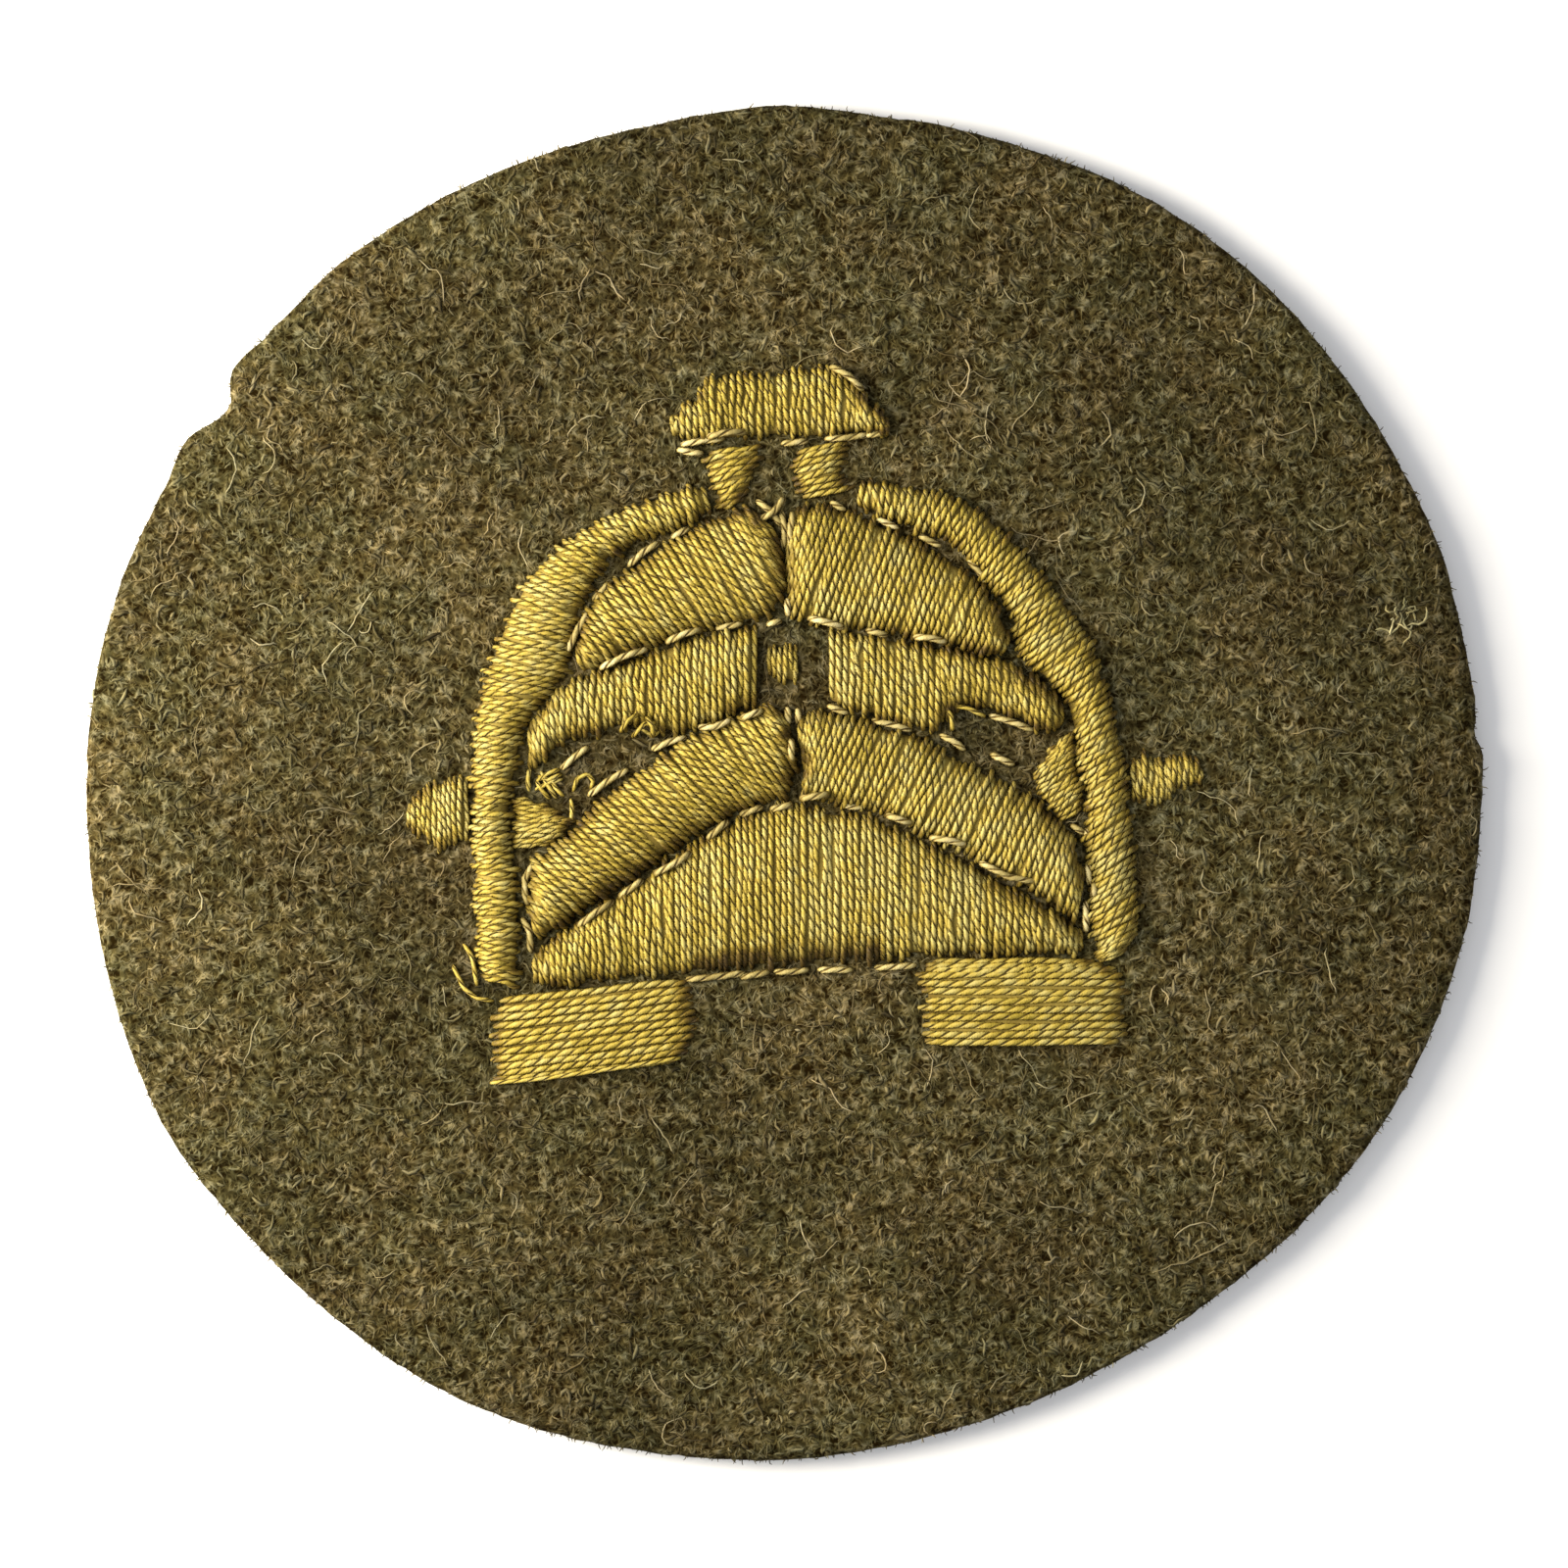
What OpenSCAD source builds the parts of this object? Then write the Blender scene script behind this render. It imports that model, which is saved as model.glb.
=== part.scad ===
// Round embroidered rank patch: a hand-cut disc of wool cloth that lies on its back,
// with a domed device worked on it in padded satin stitch.
// The origin is the middle of the disc's back, +Z comes out of the front and +Y is up the device.

/* [Cloth disc] */
// Width of the disc from left to right
disc_w = 70; // [66:0.5:90]
// Thickness of the wool cloth
cloth_t = 1.6; // [1:0.1:3]

/* [Dome] */
// Width over both rims
dome_w = 33; // [30:0.5:36]
// Height from the foot line to the top of the rims
dome_h = 24.9; // [23:0.1:27]
// Middle of the dome, to the right of the disc's middle
dome_x = 0.9; // [-1:0.1:2]
// Foot line of the dome, below the disc's middle
dome_drop = 9.8; // [8:0.1:12]
// Width of the satin column of each rim at its straight part
rim_w = 1.85; // [1.5:0.05:2.1]

/* [Panels inside the dome] */
// Height of the bands at their tallest
band_h = 4.5; // [3:0.1:4.6]
// Length of a stitch across the chevron's arms
arm_w = 4.1; // [3:0.1:4.4]
// Height of the small knot in the window between the bands
knot_h = 1.7; // [1:0.1:2.4]
// Length of the stitches of the gussets beside the rims
gusset_w = 2.7; // [1.5:0.1:3]

/* [Cap and posts] */
// Width of the cap
cap_w = 11; // [9:0.1:13]
// Height of the cap
cap_h = 3.2; // [2:0.1:4.5]
// How far the cap's middle lies to the left of the dome's middle
cap_shift = 1.1; // [0.6:0.1:1.4]
// How far the cap's underside stands above the top of the rims
cap_rise = 2.1; // [2.1:0.1:3]
// Width of each post
post_w = 2.5; // [1.8:0.1:2.7]
// Height of each post
post_h = 3.4; // [2.6:0.1:3.6]
// Clear width between the posts
post_gap = 1.65; // [1.2:0.05:2.4]

/* [Lugs and feet] */
// How far the longer lug reaches out from its rim
lug_l = 3.5; // [2:0.1:4.5]
// Height of each lug
lug_h = 3.4; // [2.4:0.1:5]
// Width of each foot
foot_w = 10; // [7:0.1:12]
// Height of each foot
foot_h = 4; // [3:0.1:5]

/* [Stitching] */
// Height of the padded panels above the cloth
pad_rise = 1.1; // [0.7:0.05:1.6]
// Height of the rims and the cap above the cloth
rim_rise = 0.95; // [0.6:0.05:1.4]
// Height of the unpadded stitching above the cloth
flat_rise = 0.55; // [0.4:0.05:0.8]
// Height of a worked edge above the cloth, where the thread goes down
edge_rise = 0.15; // [0.1:0.05:0.3]
// Bare cloth left between neighbouring pieces
seam_gap = 0.2; // [0.1:0.05:0.25]
// Bare cloth left for the outline stitches above the base panel
line_gap = 0.55; // [0.3:0.05:0.8]
// Clearance between the cloth and the stitching that lies on it
seat_gap = 0.02; // [0.01:0.01:0.1]

/* [Hidden] */

wool_colour = "#554b2e";
thread_colour = "#b99b46";

// Rows of the tables below are shares of the named sizes, and angles are in degrees.
disc_steps = 3;     // points made for each row of the disc's outline
stitch_steps = 2;   // sections made for each row of a stitched piece
profile_steps = 6;  // faces across a stitched piece
panel_power = 3;    // how full a padded panel is: 2 is a half ellipse, more is flatter on top
rim_power = 2.3;    // the same for the narrower columns
flat_power = 4;     // the same for the unpadded stitching
end_share = 0.45;   // height of a piece at its two ends, as a share of its full height

// The inside of the dome, which the panels are shared out in
bay_w = dome_w / 2 - rim_w - seam_gap;
bay_h = dome_h - rim_w;
cap_x = -cap_shift;
cap_y = dome_h + cap_rise;

// Disc outline: [angle, radius as a share of half the disc's width]
DISC_EDGE = [
    [0, 1.002], [2.6, 1.001], [3.9, 0.992], [6.3, 0.998], [12, 0.995], [20, 0.998], [30, 0.992],
    [40, 0.992], [50, 0.99], [60, 0.984], [70, 0.971], [77, 0.968], [80, 0.964], [90, 0.969],
    [100, 0.96], [110, 0.962], [120, 0.969], [130, 0.977], [139, 0.978], [142.7, 0.986],
    [144.3, 0.977], [145.2, 0.962], [146.6, 0.958], [148, 0.969], [150, 0.985], [152, 0.986],
    [154, 0.981], [159, 0.986], [165, 0.992], [172, 0.996], [180, 0.998], [190, 1.002],
    [200, 1.009], [210, 1.015], [220, 1.005], [230, 1.001], [240, 0.999], [250, 0.99],
    [260, 0.977], [270, 0.971], [280, 0.962], [290, 0.957], [300, 0.957], [310, 0.963],
    [320, 0.976], [330, 0.988], [340, 0.996], [350, 1.001]];

// Rims: [outer end across, outer end up, angle of the stitch, length of the stitch]
// Shares of half dome_w, dome_h and rim_w, from the foot upwards
RIM_LEFT = [
    [-0.98, 0.005, -19, 0.95], [-0.99, 0.1, -9, 1.02], [-1, 0.29, -3, 1.03], [-1, 0.39, -4, 1.06],
    [-1, 0.475, -5, 1.19], [-0.985, 0.545, -8, 1.47], [-0.965, 0.6, -11, 1.85],
    [-0.94, 0.655, -14, 1.96], [-0.905, 0.715, -18, 1.89], [-0.857, 0.778, -22, 1.71],
    [-0.818, 0.82, -26, 1.5], [-0.73, 0.872, -32, 1.15], [-0.65, 0.91, -41, 1], [-0.56, 0.94, -53, 0.89],
    [-0.48, 0.96, -63, 0.82], [-0.385, 0.98, -73, 0.78], [-0.305, 0.99, -73, 0.65]];
RIM_RIGHT = [
    [0.982, 0.058, -157, 0.77], [1.015, 0.12, -151, 1.28], [1.015, 0.172, -149, 1.38],
    [1.003, 0.235, -149, 1.28], [0.993, 0.294, -147, 1.24], [0.985, 0.352, -148, 1.23],
    [0.973, 0.431, -149, 1.27], [0.955, 0.5, -148, 1.29], [0.928, 0.564, -144, 1.25],
    [0.887, 0.656, -141, 1.33], [0.848, 0.709, -145, 1.79], [0.792, 0.76, -142, 1.54],
    [0.73, 0.808, -139, 1.15], [0.668, 0.859, -134, 1.14], [0.57, 0.923, -124, 1.08],
    [0.5, 0.957, -120, 1.05], [0.4, 0.975, -113, 0.93], [0.305, 0.992, -104, 0.83],
    [0.22, 1, -97, 0.74], [0.18, 1.002, -97, 0.64]];

// Line between the crown panels and the bands: [across, up] in the bay
BAND_LINE = [
    [-0.944, 0.547], [-0.88, 0.6], [-0.81, 0.646], [-0.7, 0.67], [-0.54, 0.712], [-0.355, 0.75],
    [-0.19, 0.77], [-0.07, 0.78], [0.1, 0.76], [0.27, 0.748], [0.44, 0.729], [0.61, 0.708],
    [0.71, 0.691], [0.78, 0.655], [0.893, 0.597]];

// Crown panels: [upper end across, upper end up, lower end across, lower end above the band line]
CROWN_LEFT = [
    [-0.78, 0.71, -0.765, 0], [-0.77, 0.752, -0.684, 0], [-0.728, 0.805, -0.592, 0],
    [-0.655, 0.852, -0.5, 0], [-0.57, 0.89, -0.406, 0], [-0.483, 0.928, -0.305, 0],
    [-0.4, 0.96, -0.22, 0], [-0.325, 0.985, -0.135, 0.003], [-0.254, 1.003, -0.08, 0.03],
    [-0.196, 1.01, -0.073, 0.1], [-0.142, 1, -0.073, 0.16]];
CROWN_RIGHT = [
    [-0.027, 1.01, -0.054, 0.15], [0.04, 1.02, -0.05, 0.068], [0.122, 1.012, -0.027, 0.003],
    [0.22, 0.99, 0.085, 0], [0.32, 0.958, 0.2, 0], [0.418, 0.926, 0.31, 0],
    [0.518, 0.892, 0.423, 0], [0.6, 0.85, 0.514, 0], [0.667, 0.79, 0.62, 0],
    [0.71, 0.74, 0.695, 0]];

// Bands: [across in the bay, height as a share of band_h]
BAND_LEFT = [
    [-0.94, 0.48], [-0.88, 0.56], [-0.81, 0.63], [-0.745, 0.66], [-0.65, 0.68], [-0.56, 0.8],
    [-0.49, 0.89], [-0.4, 0.99], [-0.25, 0.94], [-0.16, 0.88]];
BAND_RIGHT = [
    [0.09, 0.8], [0.18, 0.84], [0.27, 0.89], [0.36, 0.91], [0.45, 0.89], [0.5, 0.77],
    [0.54, 0.62], [0.61, 0.6], [0.71, 0.57], [0.78, 0.5], [0.83, 0.43], [0.893, 0.24]];

// Knot: [across in the bay, height as a share of knot_h]
KNOT = [[-0.11, 0.8], [-0.065, 1], [-0.018, 1.1]];
KNOT_UP = 0.718; // top of the knot in the bay

// Chevron's arms: [upper end across, upper end up, angle of the stitch, length of the stitch]
CHEVRON_LEFT = [
    [-0.944, 0.138, -75, 0.33], [-0.944, 0.2, -52, 0.59], [-0.92, 0.254, -42, 0.82],
    [-0.846, 0.288, -40, 0.84], [-0.778, 0.335, -40, 0.93], [-0.694, 0.392, -42, 1.02],
    [-0.592, 0.44, -43, 1.04], [-0.474, 0.487, -46, 1.05], [-0.355, 0.534, -50, 1.1],
    [-0.244, 0.566, -55, 1.12], [-0.152, 0.583, -57, 0.79], [-0.085, 0.585, -62, 0.28]];
CHEVRON_RIGHT = [
    [-0.01, 0.568, -88, 0.39], [0.05, 0.578, -101, 0.78], [0.135, 0.572, -113, 1.08],
    [0.237, 0.55, -115, 1.04], [0.355, 0.53, -116, 0.99], [0.474, 0.498, -118, 1],
    [0.592, 0.462, -118, 1.01], [0.694, 0.428, -115, 0.97], [0.795, 0.381, -115, 0.93],
    [0.875, 0.335, -113, 0.84], [0.94, 0.286, -108, 0.74], [0.968, 0.229, -97, 0.59]];
SEAM_ROWS = 2; // rows of each arm that end on the seam between the arms

// Base panel: stitch places across the bay, and its lower edge as [across, up]
BASE_LEFT_END = -0.92;
BASE_RIGHT_END = 0.96;
BASE_ROWS = 14;
BASE_LINE = [[-0.92, 0], [-0.58, 0.01], [-0.4, 0.014], [-0.2, 0.022], [0.14, 0.041],
    [0.44, 0.052], [0.96, 0.063]];

// Gussets: [height in the bay, angle of the stitch, length of the stitch]
GUSSET_LEFT = [[0.398, -18, 0.65], [0.36, -8, 0.88], [0.318, 0, 0.82], [0.284, 3, 0.52]];
GUSSET_RIGHT = [[0.534, -142, 0.41], [0.492, -148, 0.75], [0.445, -150, 0.65],
    [0.407, -147, 0.54], [0.369, -146, 0.39]];

// Cap: [across as a share of cap_w, upper edge, lower edge as shares of cap_h]
CAP = [
    [-0.5, 0.23, 0.09], [-0.43, 0.53, 0.02], [-0.36, 0.67, 0], [-0.335, 0.955, 0],
    [-0.164, 1.01, 0.015], [0.013, 1.04, 0.04], [0.19, 1.12, 0.07], [0.29, 1.04, 0.09],
    [0.36, 0.78, 0.1], [0.387, 0.6, 0.1], [0.45, 0.42, 0.1], [0.493, 0.27, 0.13]];

// Posts, from their inner edges: [set-in as a share of post_w, drop as a share of post_h,
// angle of the stitch, length as a share of post_w]
POST_LEFT = [[0.02, 0.09, 187, 1.1], [0.05, 0.23, 188, 1.17], [0.12, 0.36, 191, 1.08],
    [0.2, 0.57, 194, 0.86], [0.29, 0.75, 198, 0.64], [0.45, 0.9, 202, 0.4]];
POST_RIGHT = [[-0.02, 0.19, 11, 1.04], [-0.13, 0.39, 12, 1.12], [-0.09, 0.57, 11, 1.02],
    [0.02, 0.73, 11, 0.94], [0.07, 0.89, 11, 1.02]];

// Lugs: [out as a share of lug_l, upper edge, lower edge as shares of lug_h]
LUG_LEFT = [[0, 0.54, -0.4], [0.21, 0.54, -0.43], [0.39, 0.51, -0.55], [0.5, 0.46, -0.43],
    [0.73, 0.29, -0.3], [0.88, 0.1, -0.16]];
LUG_RIGHT = [[0, 0.2, -0.39], [0.11, 0.34, -0.38], [0.21, 0.31, -0.42], [0.4, 0.22, -0.44],
    [0.5, 0.26, -0.4], [0.61, 0.3, -0.2], [0.8, 0.3, -0.17], [0.92, 0.24, -0.17], [1, 0.1, -0.1]];
LUG_LEFT_UP = 0.33;  // height of the left lug's middle, as a share of dome_h
LUG_RIGHT_UP = 0.41; // the same for the right lug

// Feet, from their outer ends: [set-in as a share of foot_w, drop as a share of foot_h,
// angle of the stitch, length as a share of foot_w]
FOOT_LEFT = [[0.02, 0.26, 6.1, 0.96], [0, 0.55, 6.4, 1.01], [0, 0.86, 6.9, 1.02],
    [0, 1.13, 6.8, 0.99], [0, 1.28, 6, 0.92]];
FOOT_RIGHT = [[0.2, -0.23, 180, 0.75], [0.01, -0.09, 180, 1.03], [0, 0.13, 180, 1.02],
    [0, 0.42, 180, 1.02], [0, 0.68, 180, 1.01], [0.02, 0.82, 180.5, 0.98]];
FOOT_LEFT_OUT = -0.935; // outer end of the left foot, as a share of half dome_w
FOOT_RIGHT_OUT = 0.975; // the same for the right foot

// Position of shares of the dome and of the bay, with the dome's foot line at y = 0
function dome_at(across, up) = [across * dome_w / 2, up * dome_h];
function bay_at(across, up) = [across * bay_w, up * bay_h];

// One stitch from a point, at an angle, of a length: [start x, start y, end x, end y]
function stitch(start, angle, length) =
    [start.x, start.y, start.x + length * cos(angle), start.y + length * sin(angle)];
function from_to(a, b) = [a.x, a.y, b.x, b.y];

// Height in the bay of a line given as [across, up] rows
function line_y(line, across) = lookup(across, line) * bay_h;

function rim_stitches(rows) =
    [for (r = rows) stitch(dome_at(r[0], r[1]), r[2], r[3] * rim_w)];

// Where a rim's outer and inner edges stand at a height
function rim_outer_x(rows, y) = lookup(y, [for (s = smooth_open(rim_stitches(rows), stitch_steps)) [s[1], s[0]]]);
function rim_inner_x(rows, y) = lookup(y, [for (s = smooth_open(rim_stitches(rows), stitch_steps)) [s[3], s[2]]]);

function crown_stitches(rows) =
    [for (r = rows) from_to(bay_at(r[0], r[1]),
        [r[2] * bay_w, line_y(BAND_LINE, r[2]) + seam_gap / 2 + r[3] * bay_h])];

function band_stitches(rows) =
    [for (r = rows) stitch([r[0] * bay_w, line_y(BAND_LINE, r[0]) - seam_gap / 2], -90, r[1] * band_h)];

function knot_stitches() = [for (r = KNOT) stitch(bay_at(r[0], KNOT_UP), -90, r[1] * knot_h)];

function arm_stitches(rows) = [for (r = rows) stitch(bay_at(r[0], r[1]), r[2], r[3] * arm_w)];

// Lower edge of the whole chevron, from left to right
function chevron_floor() = concat(
    [for (i = [0 : len(CHEVRON_LEFT) - 1 - SEAM_ROWS]) let (s = arm_stitches(CHEVRON_LEFT)[i]) [s[2], s[3]]],
    [for (i = [SEAM_ROWS : len(CHEVRON_RIGHT) - 1]) let (s = arm_stitches(CHEVRON_RIGHT)[i]) [s[2], s[3]]]);

function base_stitches() =
    [for (i = [0 : BASE_ROWS - 1])
        let (across = BASE_LEFT_END + (BASE_RIGHT_END - BASE_LEFT_END) * i / (BASE_ROWS - 1),
            x = across * bay_w)
        from_to([x, lookup(x, chevron_floor()) - line_gap], [x, line_y(BASE_LINE, across)])];

// Side is 1 for stitches that run right from the left rim, and -1 for those that run left
function gusset_stitches(rows, rim, side) =
    [for (r = rows) let (y = r[0] * bay_h)
        stitch([rim_inner_x(rim, y) + side * seam_gap, y], r[1], r[2] * gusset_w)];

function cap_stitches() =
    [for (r = CAP) from_to([cap_x + r[0] * cap_w, cap_y + r[1] * cap_h],
        [cap_x + r[0] * cap_w, cap_y + r[2] * cap_h])];

function post_stitches(rows, side) =
    [for (r = rows) stitch([cap_x + side * (post_gap / 2 + r[0] * post_w), cap_y - r[1] * post_h],
        r[2], r[3] * post_w)];

function lug_stitches(rows, rim, up, side) =
    let (y = up * dome_h, root = rim_outer_x(rim, y + rows[0][2] * lug_h) + side * seam_gap)
    [for (r = rows) from_to([root + side * r[0] * lug_l, y + r[1] * lug_h],
        [root + side * r[0] * lug_l, y + r[2] * lug_h])];

function foot_stitches(rows, out) =
    [for (r = rows) stitch([out * dome_w / 2 - sign(out) * r[0] * foot_w, -r[1] * foot_h],
        r[2], r[3] * foot_w)];

// Smooth curve through rows of equal length
function between(a, b, c, d, t) =
    0.5 * (2 * b + (c - a) * t + (2 * a - 5 * b + 4 * c - d) * t * t + (3 * b - a - 3 * c + d) * t * t * t);
function smooth_open(rows, steps) = let (n = len(rows))
    [for (i = [0 : n - 2], k = [0 : steps - 1])
            between(rows[max(i - 1, 0)], rows[i], rows[i + 1], rows[min(i + 2, n - 1)], k / steps),
        rows[n - 1]];
function smooth_loop(rows, steps) = let (n = len(rows))
    [for (i = [0 : n - 1], k = [0 : steps - 1])
        between(rows[(i + n - 1) % n], rows[i], rows[(i + 1) % n], rows[(i + 2) % n], k / steps)];

function middle(s) = [(s[0] + s[2]) / 2, (s[1] + s[3]) / 2];

// Length along the middles of the stitches up to one of them
function run_to(stitches, i) =
    i == 0 ? 0 : run_to(stitches, i - 1) + norm(middle(stitches[i]) - middle(stitches[i - 1]));

// Which way round the piece's stitches go: positive when the next stitch lies to the left of this one
function turning(stitches) = let (s = stitches[0], last = stitches[len(stitches) - 1])
    cross([s[2] - s[0], s[3] - s[1]], middle(last) - middle(s));
function turned(stitches) = turning(stitches) > 0 ? stitches :
    [for (i = [len(stitches) - 1 : -1 : 0]) stitches[i]];

// Height across one stitch, from 0 at its ends to 1 on top
function crown_of(t, power) = pow(1 - pow(abs(2 * t - 1), power), 1 / power);

// A block of stitches as one rounded solid on the cloth
module worked(stitches, rise, power) {
    rows = turned(smooth_open(stitches, stitch_steps));
    n = len(rows);
    total = run_to(rows, n - 1);
    ring = profile_steps + 3;
    points = [for (i = [0 : n - 1])
        let (s = rows[i],
            along = run_to(rows, i),
            end_room = min(along, total - along),
            share = end_share + (1 - end_share) * sqrt(min(1, end_room / rise)))
        each concat(
            [[s[0], s[1], 0]],
            [for (k = [0 : profile_steps])
                let (t = (1 - cos(180 * k / profile_steps)) / 2,
                    high = edge_rise + (rise * share - edge_rise) * crown_of(t, power))
                [s[0] + t * (s[2] - s[0]), s[1] + t * (s[3] - s[1]), high]],
            [[s[2], s[3], 0]])];
    sides = [for (i = [0 : n - 2], k = [0 : ring - 1])
        let (a = i * ring + k, b = i * ring + (k + 1) % ring)
        each [[a, b, b + ring], [a, b + ring, a + ring]]];
    ends = [[for (k = [ring - 1 : -1 : 0]) k], [for (k = [0 : ring - 1]) (n - 1) * ring + k]];
    translate([dome_x, -dome_drop, cloth_t + seat_gap])
        color(thread_colour)
            polyhedron(points = points, faces = concat(sides, ends), convexity = 4);
}

module wool_disc() {
    edge = [for (p = smooth_loop([for (i = [0 : len(DISC_EDGE) - 1])
            let (e = DISC_EDGE[i]) [e[1] * cos(e[0]), e[1] * sin(e[0])]], disc_steps)) p * disc_w / 2];
    xs = [for (p = edge) p.x];
    ys = [for (p = edge) p.y];
    centre = [max(xs) + min(xs), max(ys) + min(ys)] / 2;
    color(wool_colour)
        linear_extrude(height = cloth_t)
            polygon([for (p = edge) p - centre]);
}

module rim_left() worked(rim_stitches(RIM_LEFT), rim_rise, rim_power);
module rim_right() worked(rim_stitches(RIM_RIGHT), rim_rise, rim_power);
module crown_left() worked(crown_stitches(CROWN_LEFT), pad_rise, panel_power);
module crown_right() worked(crown_stitches(CROWN_RIGHT), pad_rise, panel_power);
module band_left() worked(band_stitches(BAND_LEFT), rim_rise, panel_power);
module band_right() worked(band_stitches(BAND_RIGHT), rim_rise, panel_power);
module centre_knot() worked(knot_stitches(), flat_rise, rim_power);
module chevron_left() worked(arm_stitches(CHEVRON_LEFT), pad_rise, rim_power);
module chevron_right() worked(arm_stitches(CHEVRON_RIGHT), pad_rise, rim_power);
module base_panel() worked(base_stitches(), pad_rise, panel_power);
module gusset_left() worked(gusset_stitches(GUSSET_LEFT, RIM_LEFT, 1), flat_rise, flat_power);
module gusset_right() worked(gusset_stitches(GUSSET_RIGHT, RIM_RIGHT, -1), flat_rise, flat_power);
module cap() worked(cap_stitches(), rim_rise, panel_power);
module post_left() worked(post_stitches(POST_LEFT, -1), flat_rise, rim_power);
module post_right() worked(post_stitches(POST_RIGHT, 1), flat_rise, rim_power);
module lug_left() worked(lug_stitches(LUG_LEFT, RIM_LEFT, LUG_LEFT_UP, -1), flat_rise, rim_power);
module lug_right() worked(lug_stitches(LUG_RIGHT, RIM_RIGHT, LUG_RIGHT_UP, 1), flat_rise, rim_power);
module foot_left() worked(foot_stitches(FOOT_LEFT, FOOT_LEFT_OUT), flat_rise, flat_power);
module foot_right() worked(foot_stitches(FOOT_RIGHT, FOOT_RIGHT_OUT), flat_rise, flat_power);

wool_disc();
rim_left();
rim_right();
crown_left();
crown_right();
band_left();
band_right();
centre_knot();
chevron_left();
chevron_right();
base_panel();
gusset_left();
gusset_right();
cap();
post_left();
post_right();
lug_left();
lug_right();
foot_left();
foot_right();
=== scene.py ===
"""Round embroidered rank patch: wool cloth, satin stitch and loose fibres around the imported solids."""

import math
import random

import bmesh
import bpy
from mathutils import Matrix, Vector, noise
from mathutils.bvhtree import BVHTree
from mathutils.kdtree import KDTree


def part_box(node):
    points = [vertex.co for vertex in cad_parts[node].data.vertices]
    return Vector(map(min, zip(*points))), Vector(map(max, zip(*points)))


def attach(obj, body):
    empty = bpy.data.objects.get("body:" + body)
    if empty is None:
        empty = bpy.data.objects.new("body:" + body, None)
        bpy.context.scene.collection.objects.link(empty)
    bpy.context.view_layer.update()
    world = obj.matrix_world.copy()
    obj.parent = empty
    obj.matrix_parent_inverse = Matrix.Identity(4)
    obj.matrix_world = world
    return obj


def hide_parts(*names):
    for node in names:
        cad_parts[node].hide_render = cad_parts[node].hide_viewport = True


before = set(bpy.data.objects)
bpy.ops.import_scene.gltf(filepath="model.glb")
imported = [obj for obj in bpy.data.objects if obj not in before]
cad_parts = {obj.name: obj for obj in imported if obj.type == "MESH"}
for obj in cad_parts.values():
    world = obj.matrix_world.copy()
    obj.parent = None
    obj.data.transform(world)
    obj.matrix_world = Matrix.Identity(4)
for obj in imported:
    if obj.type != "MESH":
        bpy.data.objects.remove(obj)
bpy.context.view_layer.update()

bl_info = {
    "name": "Round embroidered rank patch",
    "version": (1, 0, 0),
    "blender": (4, 5, 0),
    "location": "View3D > Sidebar > Patch",
    "description": "Dresses the packed solids of a round cloth patch with wool, stitches and fibres",
    "category": "Add Mesh",
}

MM = 0.001
SAME_POINT = 2e-6
PLY_POINTS = 8
STITCHED = sorted(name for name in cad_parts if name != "wool_disc")
CLOTH_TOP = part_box("wool_disc")[1].z

# How full the section of each kind of block is: 2 is a half ellipse, more is flatter on top
FULL_PANEL, FULL_COLUMN, FULL_FLAT, FULL_INFILL, FULL_STITCH = 1.8, 1.75, 2.2, 3.2, 2.6
PANELS = ("crown_left", "crown_right", "band_left", "band_right", "chevron_left", "chevron_right",
          "base_panel", "cap")
FULLNESS = {
    **dict.fromkeys(PANELS, FULL_PANEL), "foot_left": FULL_FLAT, "foot_right": FULL_FLAT,
    "gusset_left": FULL_INFILL, "gusset_right": FULL_INFILL,
}
# How coarse a block's thread is beside that of the panels
COARSENESS = {
    "foot_left": 1.2, "foot_right": 1.2, "gusset_left": 0.88, "gusset_right": 0.88, "lug_left": 0.9,
    "lug_right": 0.9, "centre_knot": 0.82,
}

# Blocks spread towards each other over seams up to a width, looked across at a height over the cloth
WIDEST_SEAM, SEAM_EYE = 1.6 * MM, 0.08 * MM
# Half of what is then left of a seam, and of one beside a gusset
SEAM, CLOSE_SEAM = 0.16 * MM, 0.03 * MM

# How far a thread may lie from its even place, as a share of the spacing, and the blocks worked more evenly
STRAY, EVEN_STRAY = 0.15, 0.07
EVEN_BLOCKS = ("foot_left", "foot_right", "base_panel")
# How far a thread's ends stay inside the edge of its block, in millimetres, and how much that varies
END_SHIFT, END_SPREAD = 0.04, 0.14
# How far a thread sways to a side, how far a loose one does, and how many are loose
SWAY, LOOSE_SWAY, LOOSE_SHARE = 0.075 * MM, 0.13 * MM, 0.07
# How much each thread is turned from the last, and how much that varies
BEDDING_TURN, TURN_SPREAD = math.radians(55), 0.75
# How far the lines of threads and padding lie under a block's top, in ply radii
THREAD_DEPTH, PADDING_DEPTH = 1.5, 1.65
# How deep threads, padding and single stitches go down into the cloth
THREAD_ROOT, PADDING_ROOT, STITCH_ROOT = 0.15 * MM, 0.2 * MM, 0.1 * MM
# How far the padding stays inside the ends of its block, how thick it is, and how long its faces are
PADDING_MARGIN, PADDING_THICKNESS, PADDING_STEP = 0.12 * MM, 0.08 * MM, 0.6 * MM

# How far painted shade, with some grime, reaches in from the needle holes, and how much further the
# painted shade reaches along edges that face right, away from the lamps
SHADED_END, RIGHT_SIDE_SHADE = 0.9 * MM, 0.8
# The hem of the base panel is painted dark as shade between two places along x and below one along y,
# from this much at the needle holes to nothing over this height
HEM_SHADE_FROM, HEM_SHADE_TO, HEM_SHADE_BELOW = -4.2 * MM, 4.9 * MM, -7.6 * MM
HEM_SHADE_MOST, HEM_SHADE_HEIGHT = 1.35, 1.4 * MM

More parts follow.
